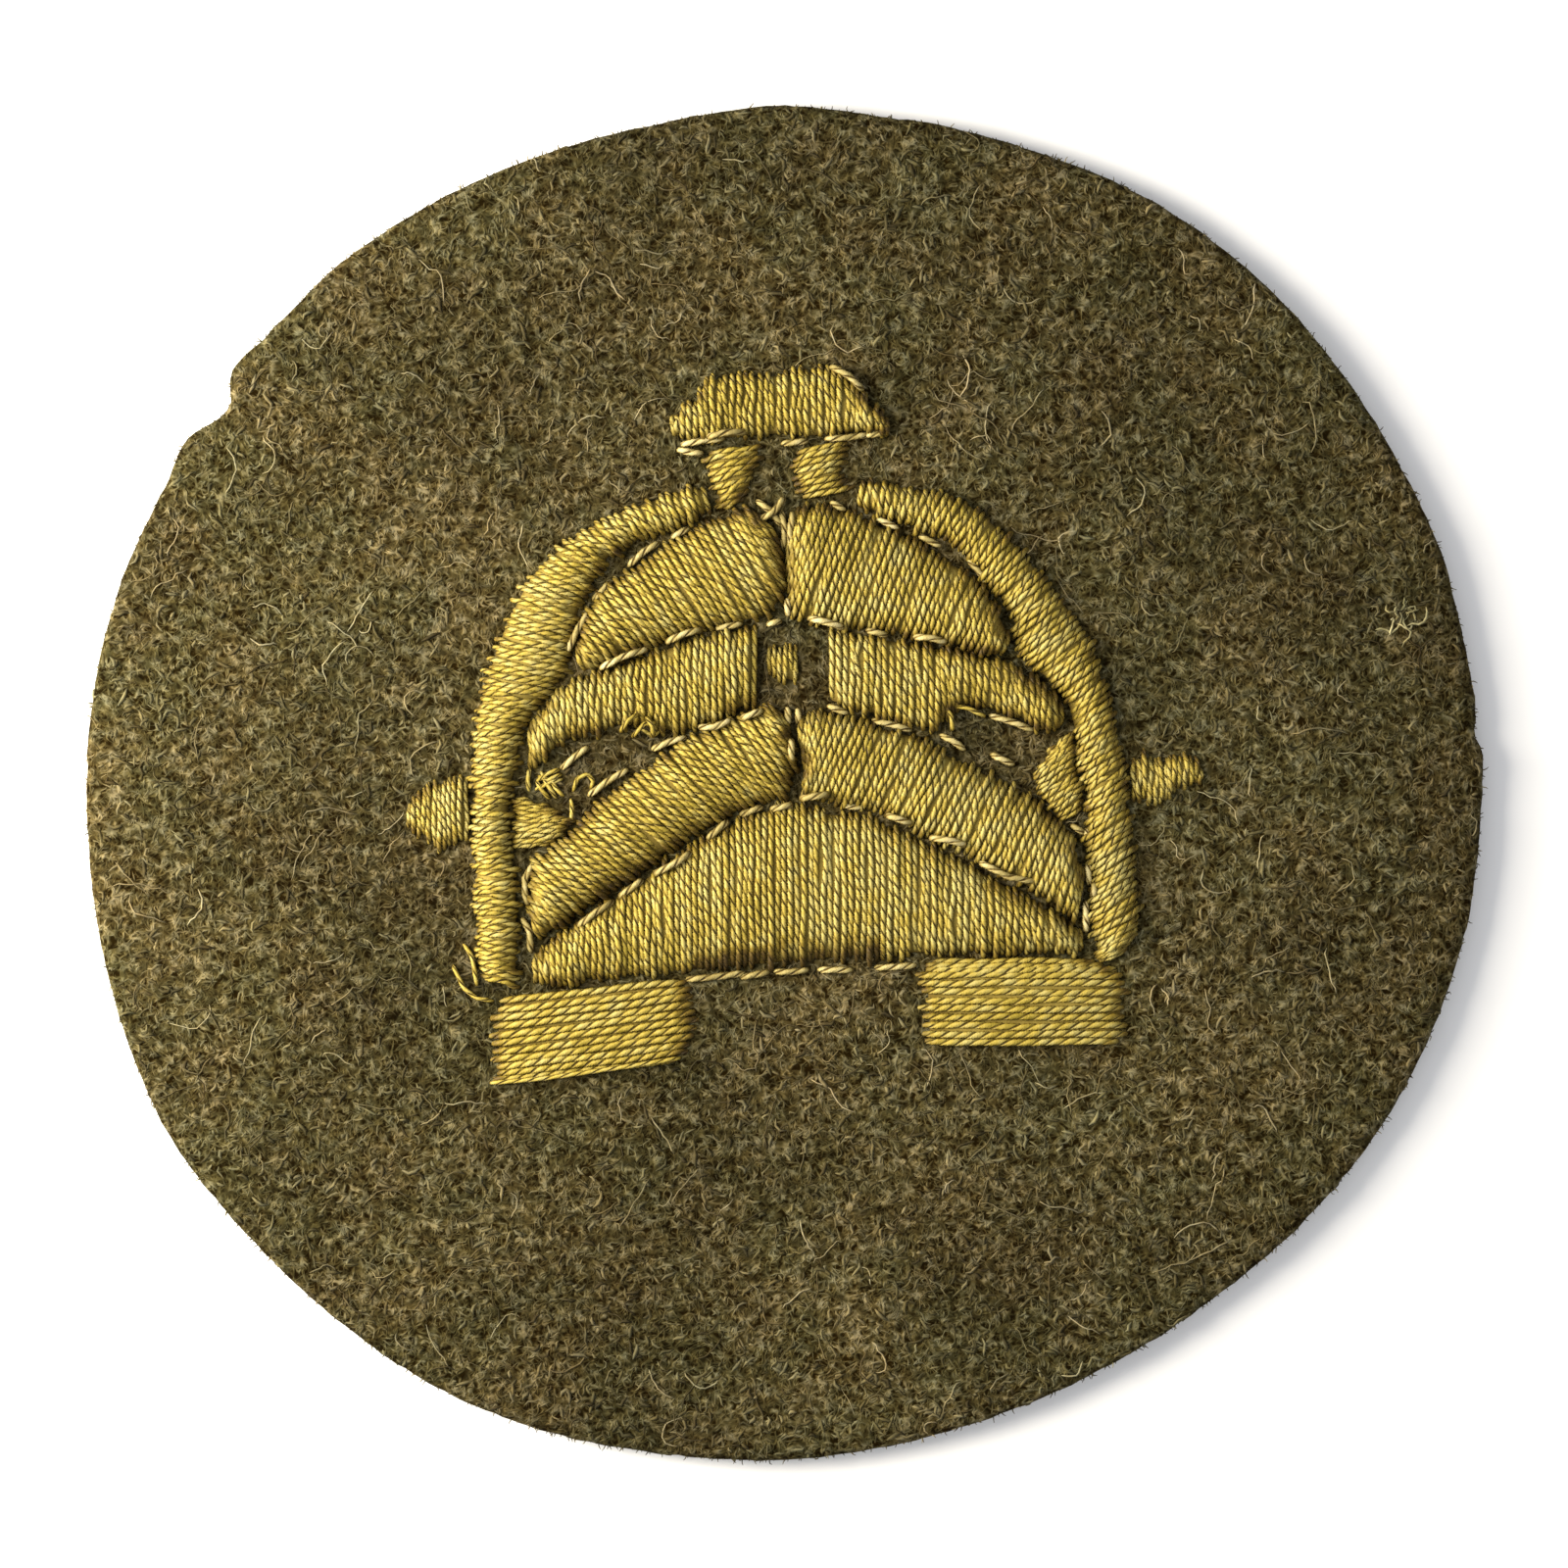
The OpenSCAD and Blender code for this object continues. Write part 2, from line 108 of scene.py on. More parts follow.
# The cloth's cut edge from back to face, as (distance in from the outline, height), in millimetres
EDGE_PROFILE = [(0.30, 0.06), (0.08, 0.25), (0.0, 0.7), (0.02, 1.15), (0.12, 1.42), (0.34, 1.56)]
BACK_HEIGHT, FACE_HEIGHT, FACE_WIDTH = 0.06, 1.6, 34
# The cloth's edge is rough outside this radius, and its face uneven above this height
ROUGH_FROM, ROUGHNESS, FACE_FROM = 33 * MM, 0.07 * MM, 1.3 * MM
# Swells of the face, as (height in millimetres, waves a metre, layer of the noise)
SWELLS = ((0.10, 120, 0), (0.05, 420, 3), (0.05, 1100, 7))
# How deep stitching pulls the cloth in, in millimetres, and how far around
PULL_DEPTH, PULL_REACH = 0.05, 1.1 * MM

# Fibres of the nap: length, radius, how much they curl at each step, and how high they stand
SHORT_FIBRE = {"length": 0.7 * MM, "radius": 0.09 * MM, "steps": 3, "curl": 0.6, "lift": 0.03 * MM}
LONG_FIBRE = {"length": 2.0 * MM, "radius": 0.04 * MM, "steps": 8, "curl": 0.34, "lift": 0.12 * MM}
LINT_FIBRE = {"length": 1.3 * MM, "radius": 0.06 * MM, "steps": 6, "curl": 0.7, "lift": 0.2 * MM}
HIGHEST_FIBRE = 0.5 * MM
LINT_PLACE, LINT_SPREAD, LINT_COUNT = (30.85 * MM, 8.40 * MM), 0.25 * MM, 16

# Single stitches that outline the blocks, each as x, y, x, y and so on, in millimetres from the disc's middle
OUTLINE_STITCHES = {
    "under_cap": [
        [-5.18, 16.9, -4.1, 17.1, -3.03, 17.2], [-5.37, 16.66, -4.74, 16.51, -4.1, 16.46],
        [-3.86, 17.24, -2.88, 17.44, -2, 17.49], [-0.15, 16.95, 0.49, 17, 1.12, 17.1],
        [2, 17.2, 3.08, 17.24, 4.15, 17.39], [4.05, 17.34, 5.08, 17.54],
        [2.3, 20.76, 3.18, 20.27, 3.86, 19.59],
    ],
    "over_crown": [
        [-10.84, 6.59, -10.36, 7.62, -9.82, 8.5], [-9.57, 9.13, -8.74, 10.01],
        [-7.82, 10.84, -7.08, 11.53, -6.3, 12.02], [-5.67, 12.26, -4.79, 12.75],
        [4.54, 13.24, 5.67, 12.7], [6.69, 12.36, 7.77, 11.82], [9.13, 11.19, 9.67, 10.6, 10.01, 10.01],
        [2.3, 14.02, 2.98, 13.63],
    ],
    "under_crown": [
        [-9.23, 5.72, -8.06, 6.3, -6.89, 6.69], [-5.91, 7.03, -5.03, 7.43, -4.2, 7.67],
        [-3.47, 7.72, -2.15, 7.96], [-0.88, 7.91, -0.2, 8.11], [0.1, 9.23, 0.15, 8.35],
        [1.22, 8.21, 2.05, 8.01, 2.88, 7.77], [4.1, 7.62, 5.08, 7.38],
        [6.45, 7.28, 7.28, 7.23, 8.01, 7.03],
    ],
    "at_the_top": [
        [-1.42, 14.12, -0.78, 13.63, -0.15, 12.85], [-1.22, 13.14, -0.54, 13.53, -0.05, 14.22],
        [-0.2, 13.63, 0, 12.65, -0.1, 11.68], [0.39, 13.53, 0.24, 12.41, 0.34, 11.58],
    ],
    "under_bands": [
        [-11.19, 0.68, -10.55, 1.27, -9.82, 1.81], [-9.82, -0.64, -8.84, 0.1, -7.86, 0.68],
        [-6.64, 1.66, -5.81, 2.05, -4.93, 2.3], [-4.3, 2.78, -3.52, 2.78, -2.74, 3.13],
        [-2.15, 3.22, -1.17, 3.61], [2.15, 3.86, 3.13, 3.47], [4.35, 3.13, 5.32, 2.93, 6.3, 2.64],
        [7.77, 2.39, 8.4, 2.1, 8.99, 1.66], [10.31, 1.42, 11.43, 0.93],
        [10.21, 3.37, 11.28, 3.08, 12.41, 2.64],
    ],
    "under_chevron": [
        [-10.31, -7.13, -9.43, -6.45, -8.6, -5.91], [-8.26, -5.67, -7.13, -4.84],
        [-6.5, -4.54, -5.57, -4.05, -4.69, -3.47], [-3.86, -2.78, -2.88, -1.91],
        [-2.25, -1.61, -1.12, -1.17], [-0.68, -1.32, 0.34, -1.07], [0.83, -0.78, 2.15, -0.54],
        [2.88, -1.12, 3.86, -1.22], [5.08, -1.61, 6.3, -2], [7.28, -2.74, 8.16, -2.83, 8.99, -3.08],
        [9.72, -3.96, 11.19, -4.69, 12.65, -4.93],
    ],
    "under_base": [
        [-4.93, -9.82, -2.98, -9.62, -2, -9.48], [-2.25, -9.72, -0.78, -9.43],
        [-0.54, -9.43, 0.34, -9.43, 1.17, -9.33], [1.66, -9.33, 3.37, -9.33],
        [4.49, -9.23, 5.57, -9.18, 6.55, -9.09],
    ],
    "beside_chevron": [
        [-12.6, -4.05, -12.99, -4.79, -12.99, -5.47, -12.85, -6.11],
        [-13.14, -6.74, -12.75, -7.38, -12.7, -8.45], [15.14, -4.01, 15.19, -5.08],
        [15.44, -4.98, 15.39, -5.67], [15, -5.91, 15.05, -7.43], [14.31, -2.1, 15, -2.54],
        [15, -2.3, 15.19, -2.88], [0.29, 2.15, 0.34, 1.12], [0.1, 3.76, 0.2, 2.98],
        [0.64, 3.71, 0.68, 2.98],
    ],
}

# Stitches and ends that hang loose or have pulled out of their block, in the same way
LOOSE_STITCHES = {
    "beside_gusset": [
        [-12.45, 0.05, -11.9, 0.45, -11.25, 0.7], [-12.5, -0.35, -11.8, 0, -11.1, 0.2],
        [-12.35, 0.35, -11.85, 0.15, -11.15, 0.45], [-12.2, 0.6, -11.85, -0.1, -11.4, -0.78],
        [-12.45, 0.15, -12.15, -0.35, -11.75, -0.8], [-11.8, 0.35, -11.45, -0.25, -11.05, -0.7],
        [-12.75, 0.73, -12.85, 0.1, -12.75, -0.44], [-10.7, -0.78, -10.62, -1.4, -10.72, -2],
        [-10.6, -0.45, -10.35, 0.25, -9.85, 0.45, -9.55, 0.1, -9.75, -0.3],
    ],
    "out_of_bands": [
        [-8.2, 2.55, -7.8, 3.1, -7.3, 3.45], [-7.6, 2.3, -7, 2.95, -6.4, 3],
        [-7.2, 2.75, -6.65, 2.35, -6.25, 2.6], [-6.95, 3.3, -6.6, 2.85, -6.6, 2.3],
        [7.95, 3.9, 8.3, 3.3, 8.35, 2.6], [8.3, 3.9, 9.2, 3.7, 10, 3.3],
    ],
    "at_left_foot": [
        [-16.07, -8.01, -15.63, -8.65, -15.44, -9.72, -15.39, -10.16],
        [-16.61, -9.09, -16.02, -10.26, -15.39, -10.75, -14.56, -10.89],
        [-14.75, -14.98, -12, -14.72, -8.5, -14.22, -5.2, -13.72],
    ],
}


# --- Materials ---------------------------------------------------------------------------------


def linear(hex_colour):
    """The linear colour of an sRGB hex value."""
    shares = [int(hex_colour[i : i + 2], 16) / 255 for i in (1, 3, 5)]
    return [c / 12.92 if c <= 0.04045 else ((c + 0.055) / 1.055) ** 2.4 for c in shares]


def add(tree, kind, inputs=None, output=0, span=(), stops=(), **settings):
    """Adds a shader node and gives one output. Each input is given a number, a colour or a socket to link.

    span is from low, from high, to low and to high. stops are the colours of a ramp, its two ends first.
    """
    node = tree.nodes.new(f"ShaderNode{kind}")
    for name, value in settings.items():
        setattr(node, name, value)
    for name, value in (inputs or {}).items():
        if isinstance(value, bpy.types.NodeSocket):
            tree.links.new(value, node.inputs[name])
        else:
            node.inputs[name].default_value = value
    for index, value in enumerate(span, 1):
        node.inputs[index].default_value = value
    for index, (place, colour) in enumerate(stops):
        elements = node.color_ramp.elements
        stop = elements[index] if index < 2 else elements.new(place)
        stop.position, stop.color = place, (*linear(colour), 1)
    return node.outputs[output] if node.outputs else node.inputs[0]


def new_material(name):
    """An empty material, with its node tree, the socket for its surface and its own coordinates in metres."""
    material = bpy.data.materials.new(name)
    material.use_nodes = True
    tree = material.node_tree
    tree.nodes.clear()
    return material, tree, add(tree, "OutputMaterial"), add(tree, "TexCoord", output="Object")


def wool_cloth_material(wool):
    """Milled wool coating: short fibres matted every way, which gives the eye fine curls over pits painted
    dark as shade.
    """
    material, tree, surface, place = new_material("Milled wool coating")
    # Milling leaves tufts of about 0.6 mm, with pits between them that are painted darker as shade
    tufts = add(tree, "TexNoise", {"Vector": place, "Scale": 1.3 / MM, "Detail": 2})
    pits = add(tree, "MapRange", {"Value": tufts}, span=(0.36, 0.64, 0.45, 1))
    depth = add(tree, "Math", {0: strokes_and_curls(tree, place), 1: pits}, operation="MULTIPLY")
    # The colour goes from the pit colour to the fibre colour with height: painted shade in the pits between
    # the fibres
    ground = add(tree, "ValToRGB", {"Fac": depth}, stops=[
        (0.05, wool.pit_shade_hex), (0.95, wool.fibre_hex), (0.45, wool.ground_hex)])
    relief = add(tree, "Bump", {"Height": depth, "Distance": 0.12 * MM, "Strength": 0.9})
    cloth = add(tree, "BsdfPrincipled", {"Base Color": mottled(tree, place, ground), "Normal": relief,
                "Roughness": 0.95, "Specular IOR Level": 0.03})
    tree.links.new(cloth, surface)
    return material


def mottled(tree, place, colour):
    """A wool colour with the uneven dye of mixed fleece, by tuft, by patch of 4 mm and by field of 15 mm."""
    for per_mm, cool, warm in ((0.26, "#e8eade", "#f8f0e4"), (1.9, "#e6e8e4", "#fbf4e0")):
        patches = add(tree, "TexNoise", {"Vector": place, "Scale": per_mm / MM, "Detail": 2})
        warmth = add(tree, "ValToRGB", {"Fac": patches}, stops=[(0.38, cool), (0.62, warm)])
        colour = add(tree, "Mix", {0: 1.0, 6: colour, 7: warmth}, 2, data_type="RGBA", blend_type="MULTIPLY")
    for per_mm, low, high in ((0.07, 0.8, 1.19), (2.6, 0.74, 1.35)):
        fields = add(tree, "TexNoise", {"Vector": place, "Scale": per_mm / MM, "Detail": 2})
        light = add(tree, "MapRange", {"Value": fields}, span=(0.35, 0.65, low, high))
        colour = add(tree, "VectorMath", {0: colour, "Scale": light}, operation="SCALE")
    return colour


def strokes_and_curls(tree, place):
    """The height of matted fibres from 0 to 1, as short strokes laid four ways and curls, 0.12 mm wide."""
    heights = []
    for turn, degrees in enumerate((4, 38, 95, -34)):
        laid = add(tree, "Mapping", {"Vector": place, "Location": (0, 0, (3 + turn) * 7 * MM),
                   "Rotation": (0, 0, math.radians(degrees)), "Scale": (2.4, 1, 1)}, vector_type="TEXTURE")
        grain = add(tree, "TexNoise", {"Vector": laid, "Scale": 4 / MM, "Detail": 0, "Distortion": 1.2})
        heights.append(add(tree, "MapRange", {"Value": grain}, span=(0.5, 0.78, 0, 0.9)))
    for layer in range(3):
        moved = add(tree, "VectorMath", {0: place, 1: (layer * 31 * MM, 0, 11 * MM)}, operation="ADD")
        field = add(tree, "TexNoise", {"Vector": moved, "Scale": 1.5 / MM, "Detail": 1, "Roughness": 0.4},
                    "Color")
        # A curl is a line where the first channel is close to a half, broken up by the second
        along, across = (add(tree, "SeparateColor", {"Color": field}, channel) for channel in (0, 1))
        near = add(tree, "MapRange", {"Value": along}, span=(0.5, 0.57, 1, 0))
        under = add(tree, "MapRange", {"Value": along}, span=(0.43, 0.5, 0, 1))
        line = add(tree, "Math", {0: near, 1: under}, operation="MINIMUM")
        broken = add(tree, "MapRange", {"Value": across}, span=(0.42, 0.58, 0, 1))
        heights.append(add(tree, "Math", {0: line, 1: broken}, operation="MULTIPLY"))
    return highest(tree, heights)


def highest(tree, values):
    """The highest of several values."""
    top = values[0]
    for value in values[1:]:
        top = add(tree, "Math", {0: top, 1: value}, operation="MAXIMUM")
    return top


def wool_fibre_material(name, darkest, middle, palest):
    """Loose wool fibre: scaly and translucent, so it is dull but catches light along its edges."""
    material, tree, surface, place = new_material(name)
    each = add(tree, "NewGeometry", output="Random Per Island")
    colour = add(tree, "ValToRGB", {"Fac": each}, stops=[(0.0, darkest), (1.0, palest), (0.6, middle)])
    fibre = add(tree, "BsdfPrincipled", {"Base Color": mottled(tree, place, colour), "Roughness": 0.85,
                "Specular IOR Level": 0.15})
    tree.links.new(fibre, surface)
    return material


def thread_material(name, dark, mid, pale, deep_shade_hex, roughness):
    """Mercerised cotton thread: smooth combed fibres under twist, so each ply has a long soft shine."""
    material, tree, surface, place = new_material(name)
    # Dye and wear differ over 1 to 3 mm of thread, over whole areas, and from thread to thread
    uneven = add(tree, "TexNoise", {"Vector": place, "Scale": 1.1 / MM, "Detail": 4, "Roughness": 0.65})
    area = add(tree, "TexNoise", {"Vector": place, "Scale": 0.16 / MM, "Detail": 1})
    worn = add(tree, "Math", {0: area, 1: 0.5, 2: uneven}, operation="MULTIPLY_ADD")
    each = add(tree, "NewGeometry", output="Random Per Island")
    mixed = add(tree, "Math", {0: each, 1: 0.16, 2: worn}, operation="MULTIPLY_ADD")
    colour = add(tree, "ValToRGB", {"Fac": mixed}, stops=[(0.58, dark), (1.0, pale), (0.8, mid)])
    groove_mask = groove_shade_and_grime(tree, place)
    # Painted shade: the thread darkens in the grooves between its plies, on the sides that turn down to the
    # next thread, low in the wool and towards the needle holes, with some grime in the grooves and at the
    # ends
    deep = highest(tree, [turned_down(tree), groove_mask, low_down(tree, place), close_to_end(tree, worn)])
    shade = add(tree, "ValToRGB", {"Fac": deep}, stops=[
        (0.1, "#ffffff"), (1.0, "#665a2e"), (0.48, "#c8c09c"), (0.82, deep_shade_hex)])
    shaded = add(tree, "Mix", {0: 1.0, 6: colour, 7: shade}, 2, data_type="RGBA", blend_type="MULTIPLY")
    plump = add(tree, "Bump", {"Height": groove_mask, "Distance": 0.085 * MM}, invert=True)
    # Combed fibres show as fine streaks
    fluff = add(tree, "TexNoise", {"Vector": place, "Scale": 9 / MM, "Detail": 2})
    relief = add(tree, "Bump", {"Height": fluff, "Distance": 0.03 * MM, "Strength": 0.7, "Normal": plump})
    thread = add(tree, "BsdfPrincipled", {"Base Color": shaded, "Normal": relief, "Roughness": roughness,
                 "Specular IOR Level": 0.3})
    tree.links.new(thread, surface)
    return material


def groove_shade_and_grime(tree, place):
    """How much painted shade, with some grime, lies in the groove between the plies, in patches of about 0.5
    mm.
    """
    groove = add(tree, "Attribute", output="Fac", attribute_name="between_plies")
    patchy = add(tree, "TexNoise", {"Vector": place, "Scale": 2.2 / MM, "Detail": 2})
    shade_and_grime_patches = add(tree, "MapRange", {"Value": patchy}, span=(0.38, 0.6, 0.6, 1.2))
    return add(tree, "Math", {0: groove, 1: shade_and_grime_patches}, operation="MULTIPLY")


def turned_down(tree):
    """Painted shade on the sides of a thread: how far its surface turns down towards the next one."""
    facing = add(tree, "SeparateXYZ", {"Vector": add(tree, "NewGeometry", output="Normal")}, "Z")
    return add(tree, "MapRange", {"Value": facing}, span=(0.2, 0.85, 0.64, 0))


def low_down(tree, place):
    """How far down a thread lies in the wool, which keeps the light out."""
    height = add(tree, "SeparateXYZ", {"Vector": place}, "Z")
    low, high = CLOTH_TOP - 0.05 * MM, CLOTH_TOP + 0.3 * MM
    return add(tree, "MapRange", {"Value": height}, span=(low, high, 0.65, 0))


def close_to_end(tree, worn):
    """How much painted shade, with some grime, a thread has towards its needle holes, with a ragged edge
    where it is worn.
    """
    end = add(tree, "Attribute", output="Fac", attribute_name="near_end")
    ragged = add(tree, "Math", {0: worn, 1: -1.0, 2: end}, operation="MULTIPLY_ADD")
    return add(tree, "MapRange", {"Value": ragged}, span=(-0.55, 0.3, 0, 1))


def gold_thread(thread):
    """The thread of the satin stitch, made once."""
    name = "Mercerised cotton thread"
    made = bpy.data.materials.get(name)
    # 82743c is the colour of the thread's deepest painted shade
    return made or thread_material(name, thread.dark_hex, thread.mid_hex, thread.pale_hex, "#82743c", 0.65)


def floor_material(stage):
    """Matt painted board: no shine, so the patch's own shadow is all that shows on it."""
    material, tree, surface, place = new_material("Matt painted board")
    grain = add(tree, "TexNoise", {"Vector": place, "Scale": 0.4 / MM, "Detail": 4})
    tone = add(tree, "MapRange", {"Value": grain}, span=(0, 1, 0.985, 1))
    colour = add(tree, "VectorMath", {0: stage.floor_colour[:], "Scale": tone}, operation="SCALE")
    board = add(tree, "BsdfPrincipled", {"Base Color": colour, "Roughness": 0.9, "Specular IOR Level": 0.2})
    tree.links.new(board, surface)
    return material


# --- Shared making -----------------------------------------------------------------------------


def placed(name, data):
    """A new object in the scene."""
    thing = bpy.data.objects.new(name, data)
    bpy.context.scene.collection.objects.link(thing)
    return thing


def finished(work, name):
    """A mesh from a bmesh that is done with."""
    mesh = bpy.data.meshes.new(name)
    work.to_mesh(mesh)
    work.free()
    return mesh


def show(name, mesh, materials, replaces=()):
    """Puts a finished mesh in the scene as a piece of the patch."""
    piece = placed(name, mesh)
    for material in materials:
        mesh.materials.append(material)
    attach(piece, "root")
    if replaces:
        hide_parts(*replaces)
    return piece


def section_curve(name, points):
    """A closed flat outline that threads and fibres are swept with, and that is discarded afterwards."""
    curve = bpy.data.curves.new(name, "CURVE")
    curve.dimensions = "2D"
    spline = curve.splines.new("POLY")
    spline.points.add(len(points) - 1)
    for point, (x, y) in zip(spline.points, reversed(points)):
        point.co = (x, y, 0, 1)
    spline.use_cyclic_u = True
    return placed(name, curve)


def discard(holder):
    """Removes a curve that has been used, with its object."""
    bpy.data.curves.remove(holder.data)


def two_ply_section(ply):
    """Section of a two-ply thread: two round plies of that radius that press against each other."""
    apart, waist = 0.2 * ply, 0.84 * ply
    right = [(apart + ply * math.cos(a), ply * math.sin(a)) for a in map(math.radians, (-68, 0, 68))]
    left = [(-x, -y) for x, y in right]
    return section_curve("two_ply", [(0, -waist), *right, (0, waist), *left])


def flat_section(radius):
    """Section of a wool fibre that is pressed into the cloth: wide, and low in the middle."""
    return section_curve("fibre", [(-radius, -0.15 * radius), (radius, -0.15 * radius), (0, 0.4 * radius)])


def swept(name, section, paths):
    """One mesh of many strands. Each path is a list of (point, width share, turn about its own line)."""
    curve = bpy.data.curves.new(name, "CURVE")
    curve.dimensions = "3D"
    curve.twist_mode = "MINIMUM"
    curve.bevel_mode = "OBJECT"
    curve.bevel_object = section
    curve.use_fill_caps = True
    for path in paths:
        spline = curve.splines.new("POLY")
        spline.points.add(len(path) - 1)
        spline.points.foreach_set("co", [c for point, _, _ in path for c in (*point, 1)])
        spline.points.foreach_set("radius", [share for _, share, _ in path])
        spline.points.foreach_set("tilt", [turn for _, _, turn in path])
        spline.use_smooth = True
    holder = placed(name, curve)
    graph = bpy.context.evaluated_depsgraph_get()
    mesh = bpy.data.meshes.new_from_object(holder.evaluated_get(graph), depsgraph=graph)
    discard(holder)
    mesh.name = name
    mesh.shade_smooth()
    return closed(mesh, len(section.data.splines[0].points))


def closed(mesh, ring):
    """Joins the strands to their end caps, and marks the grooves of those with two plies."""
    if ring == PLY_POINTS:
        marks = mesh.attributes.new("between_plies", "FLOAT", "POINT")
        marks.data.foreach_set("value", [float(k % ring in (ring // 2 - 1, ring - 1))
                                         for k in range(len(mesh.vertices))])
    work = bmesh.new()
    work.from_mesh(mesh)
    bmesh.ops.remove_doubles(work, verts=work.verts, dist=SAME_POINT / 100)
    work.to_mesh(mesh)
    work.free()
    return mesh


def faces_right(rows, index, side):
    """How far the edge of a block faces right where a row ends at it, from -1 to 1."""
    before, after = rows[max(index - 1, 0)][side], rows[min(index + 1, len(rows) - 1)][side]
    along = (after - before).normalized()
    outward = Vector((along.y, -along.x, 0))
    inward = rows[index][1 - side] - rows[index][side]
    return outward.x if outward.dot(inward) < 0 else -outward.x


def mark_ends(mesh, rows, rubbed):
    """Marks how close each point lies to where the threads go down: 1 at the needle holes, 0 further in.

    The mark is painted shade, with some grime. It reaches further in along the edges that face right, away
    from the lamps, and the hem of one block is painted darker as shade.
    """
    lengths = sorted((end - start).length for start, end, _ in rows)
    reach, holes, reaches = min(SHADED_END, lengths[len(lengths) // 2] / 4), KDTree(2 * len(rows)), []
    for index, row in enumerate(rows):
        for side in (0, 1):
            holes.insert((row[side].x, row[side].y, 0), len(reaches))
            # Painted shade reaches further in where the edge faces right, away from the lamps
            reaches.append(reach * (1 + RIGHT_SIDE_SHADE * max(0.0, faces_right(rows, index, side))))
    holes.balance()
    shares = []
    for place in (v.co for v in mesh.vertices):
        hole, index, distance = holes.find((place.x, place.y, 0))
        share = 1 - distance / reaches[index]
        # The base panel's hem gets a stronger painted shade, darkest at its needle holes
        if rubbed and HEM_SHADE_FROM < hole.x < HEM_SHADE_TO and place.y < HEM_SHADE_BELOW:
            share = HEM_SHADE_MOST - distance / HEM_SHADE_HEIGHT
        shares.append(max(0.0, share))
    mesh.attributes.new("near_end", "FLOAT", "POINT").data.foreach_set("value", shares)


def tree_over(*objects):
    """A search tree over the faces of several pieces."""
    points, faces = [], []
    for o in objects:
        start = len(points)
        points += [v.co.copy() for v in o.data.vertices]
        faces += [[start + i for i in f.vertices] for f in o.data.polygons]
    return BVHTree.FromPolygons(points, faces)


def tree_over_blocks(*without):
    """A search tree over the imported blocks, but for some."""
    return tree_over(*(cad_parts[name] for name in STITCHED if name not in without))


def top_of(tree, x, y):
    """Height of the first face under a place, or None."""
    hit = tree.ray_cast(Vector((x, y, 0.1)), Vector((0, 0, -1)))
    return hit[0].z if hit[0] is not None else None


def evenly(line, step):
    """The points of a line again, at an even spacing of about step."""
    runs = [(b - a).length for a, b in zip(line, line[1:])]
    count = max(2, round(sum(runs) / step))
    spacing, out, travelled, i = sum(runs) / count, [line[0]], 0.0, 0
    for k in range(1, count):
        while travelled + runs[i] < k * spacing:
            travelled += runs[i]
            i += 1
        out.append(line[i].lerp(line[i + 1], (k * spacing - travelled) / runs[i]))
    return [*out, line[-1]]


# --- Stitches ----------------------------------------------------------------------------------


def stitch_rows(node):
    """The stitches of a packed block in order, each as (start, end, height on top)."""
    work = bmesh.new()
    work.from_mesh(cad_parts[node].data)
    bmesh.ops.remove_doubles(work, verts=work.verts, dist=SAME_POINT / 10)
    seat = min(v.co.z for v in work.verts) + SAME_POINT
    above = [v.co for v in work.verts if v.co.z > seat]
    rows, owner, links = [], {}, []
    for edge in (e for e in work.edges if all(v.co.z < seat for v in e.verts)):
        middle = (edge.verts[0].co + edge.verts[1].co) / 2
        tops = [p.z for p in above if (p.xy - middle.xy).length < SAME_POINT]
        if tops:
            owner.update({v: len(rows) for v in edge.verts})
            rows.append([edge.verts[0].co.copy(), edge.verts[1].co.copy(), tops[0]])
        else:
            links.append(edge.verts[:])
    beside = {i: set() for i in range(len(rows))}
    for a, b in links:
        if owner[a] != owner[b]:
            beside[owner[a]].add(owner[b])
            beside[owner[b]].add(owner[a])
    work.free()
    order = [min(i for i in beside if len(beside[i]) == 1)]
    while len(order) < len(rows):
        order.append(next(i for i in sorted(beside[order[-1]]) if i not in order))
    return same_way([rows[i] for i in order])


def same_way(rows):
    """Rows whose starts all lie on one side."""
    for last, row in zip(rows, rows[1:]):
        if (row[1] - row[0]).dot(last[1] - last[0]) < 0:
            row[0], row[1] = row[1], row[0]
    return rows


def room(others, point, way, left):
    """Half of the seam that a point looks across but for what is left, or 0 where no other block is close."""
    eye = Vector((point.x, point.y, CLOTH_TOP + SEAM_EYE))
    distance = others.ray_cast(eye, Vector((way.x, way.y, 0)).normalized(), WIDEST_SEAM)[3]
    if distance is None:
        return 0.0
    fade = min(1.0, (WIDEST_SEAM - distance) / (0.4 * WIDEST_SEAM))
    return max(0.0, distance / 2 - left) * fade


def let_out(rows, others, left):
    """Rows that reach to the middle of the seams beside their block, as threads share needle holes.

    A block of only a few rows stands free and stays as it is.
    """
    if len(rows) < 5:
        return rows
    wider = []
    for start, end, top in rows:
        along = (end - start).normalized()
        wider.append((start - along * room(others, start, -along, left),
                      end + along * room(others, end, along, left), top))
    for place, beside in ((0, 1), (len(wider) - 1, len(wider) - 2)):
        (a, b, top), (c, d, _) = rows[place], rows[beside]
        out = ((a + b) - (c + d)).normalized()
        gap = min(room(others, a.lerp(b, share), out, left) for share in (0.3, 0.5, 0.7))
        if gap:
            a, b, top = wider[place]
            wider.insert(0 if place == 0 else len(wider), (a + out * gap, b + out * gap, top - 0.1 * MM))
    return wider


def row_places(rows):
    """Distance of each row along the block, measured midway between the middles and the longer side."""
    places = [0.0]
    for last, row in zip(rows, rows[1:]):
        sides = [(row[k] - last[k]).length for k in (0, 1)]
        middle = ((row[0] + row[1]) / 2 - (last[0] + last[1]) / 2).length
        places.append(places[-1] + 0.5 * (max(sides) + middle))
    return places


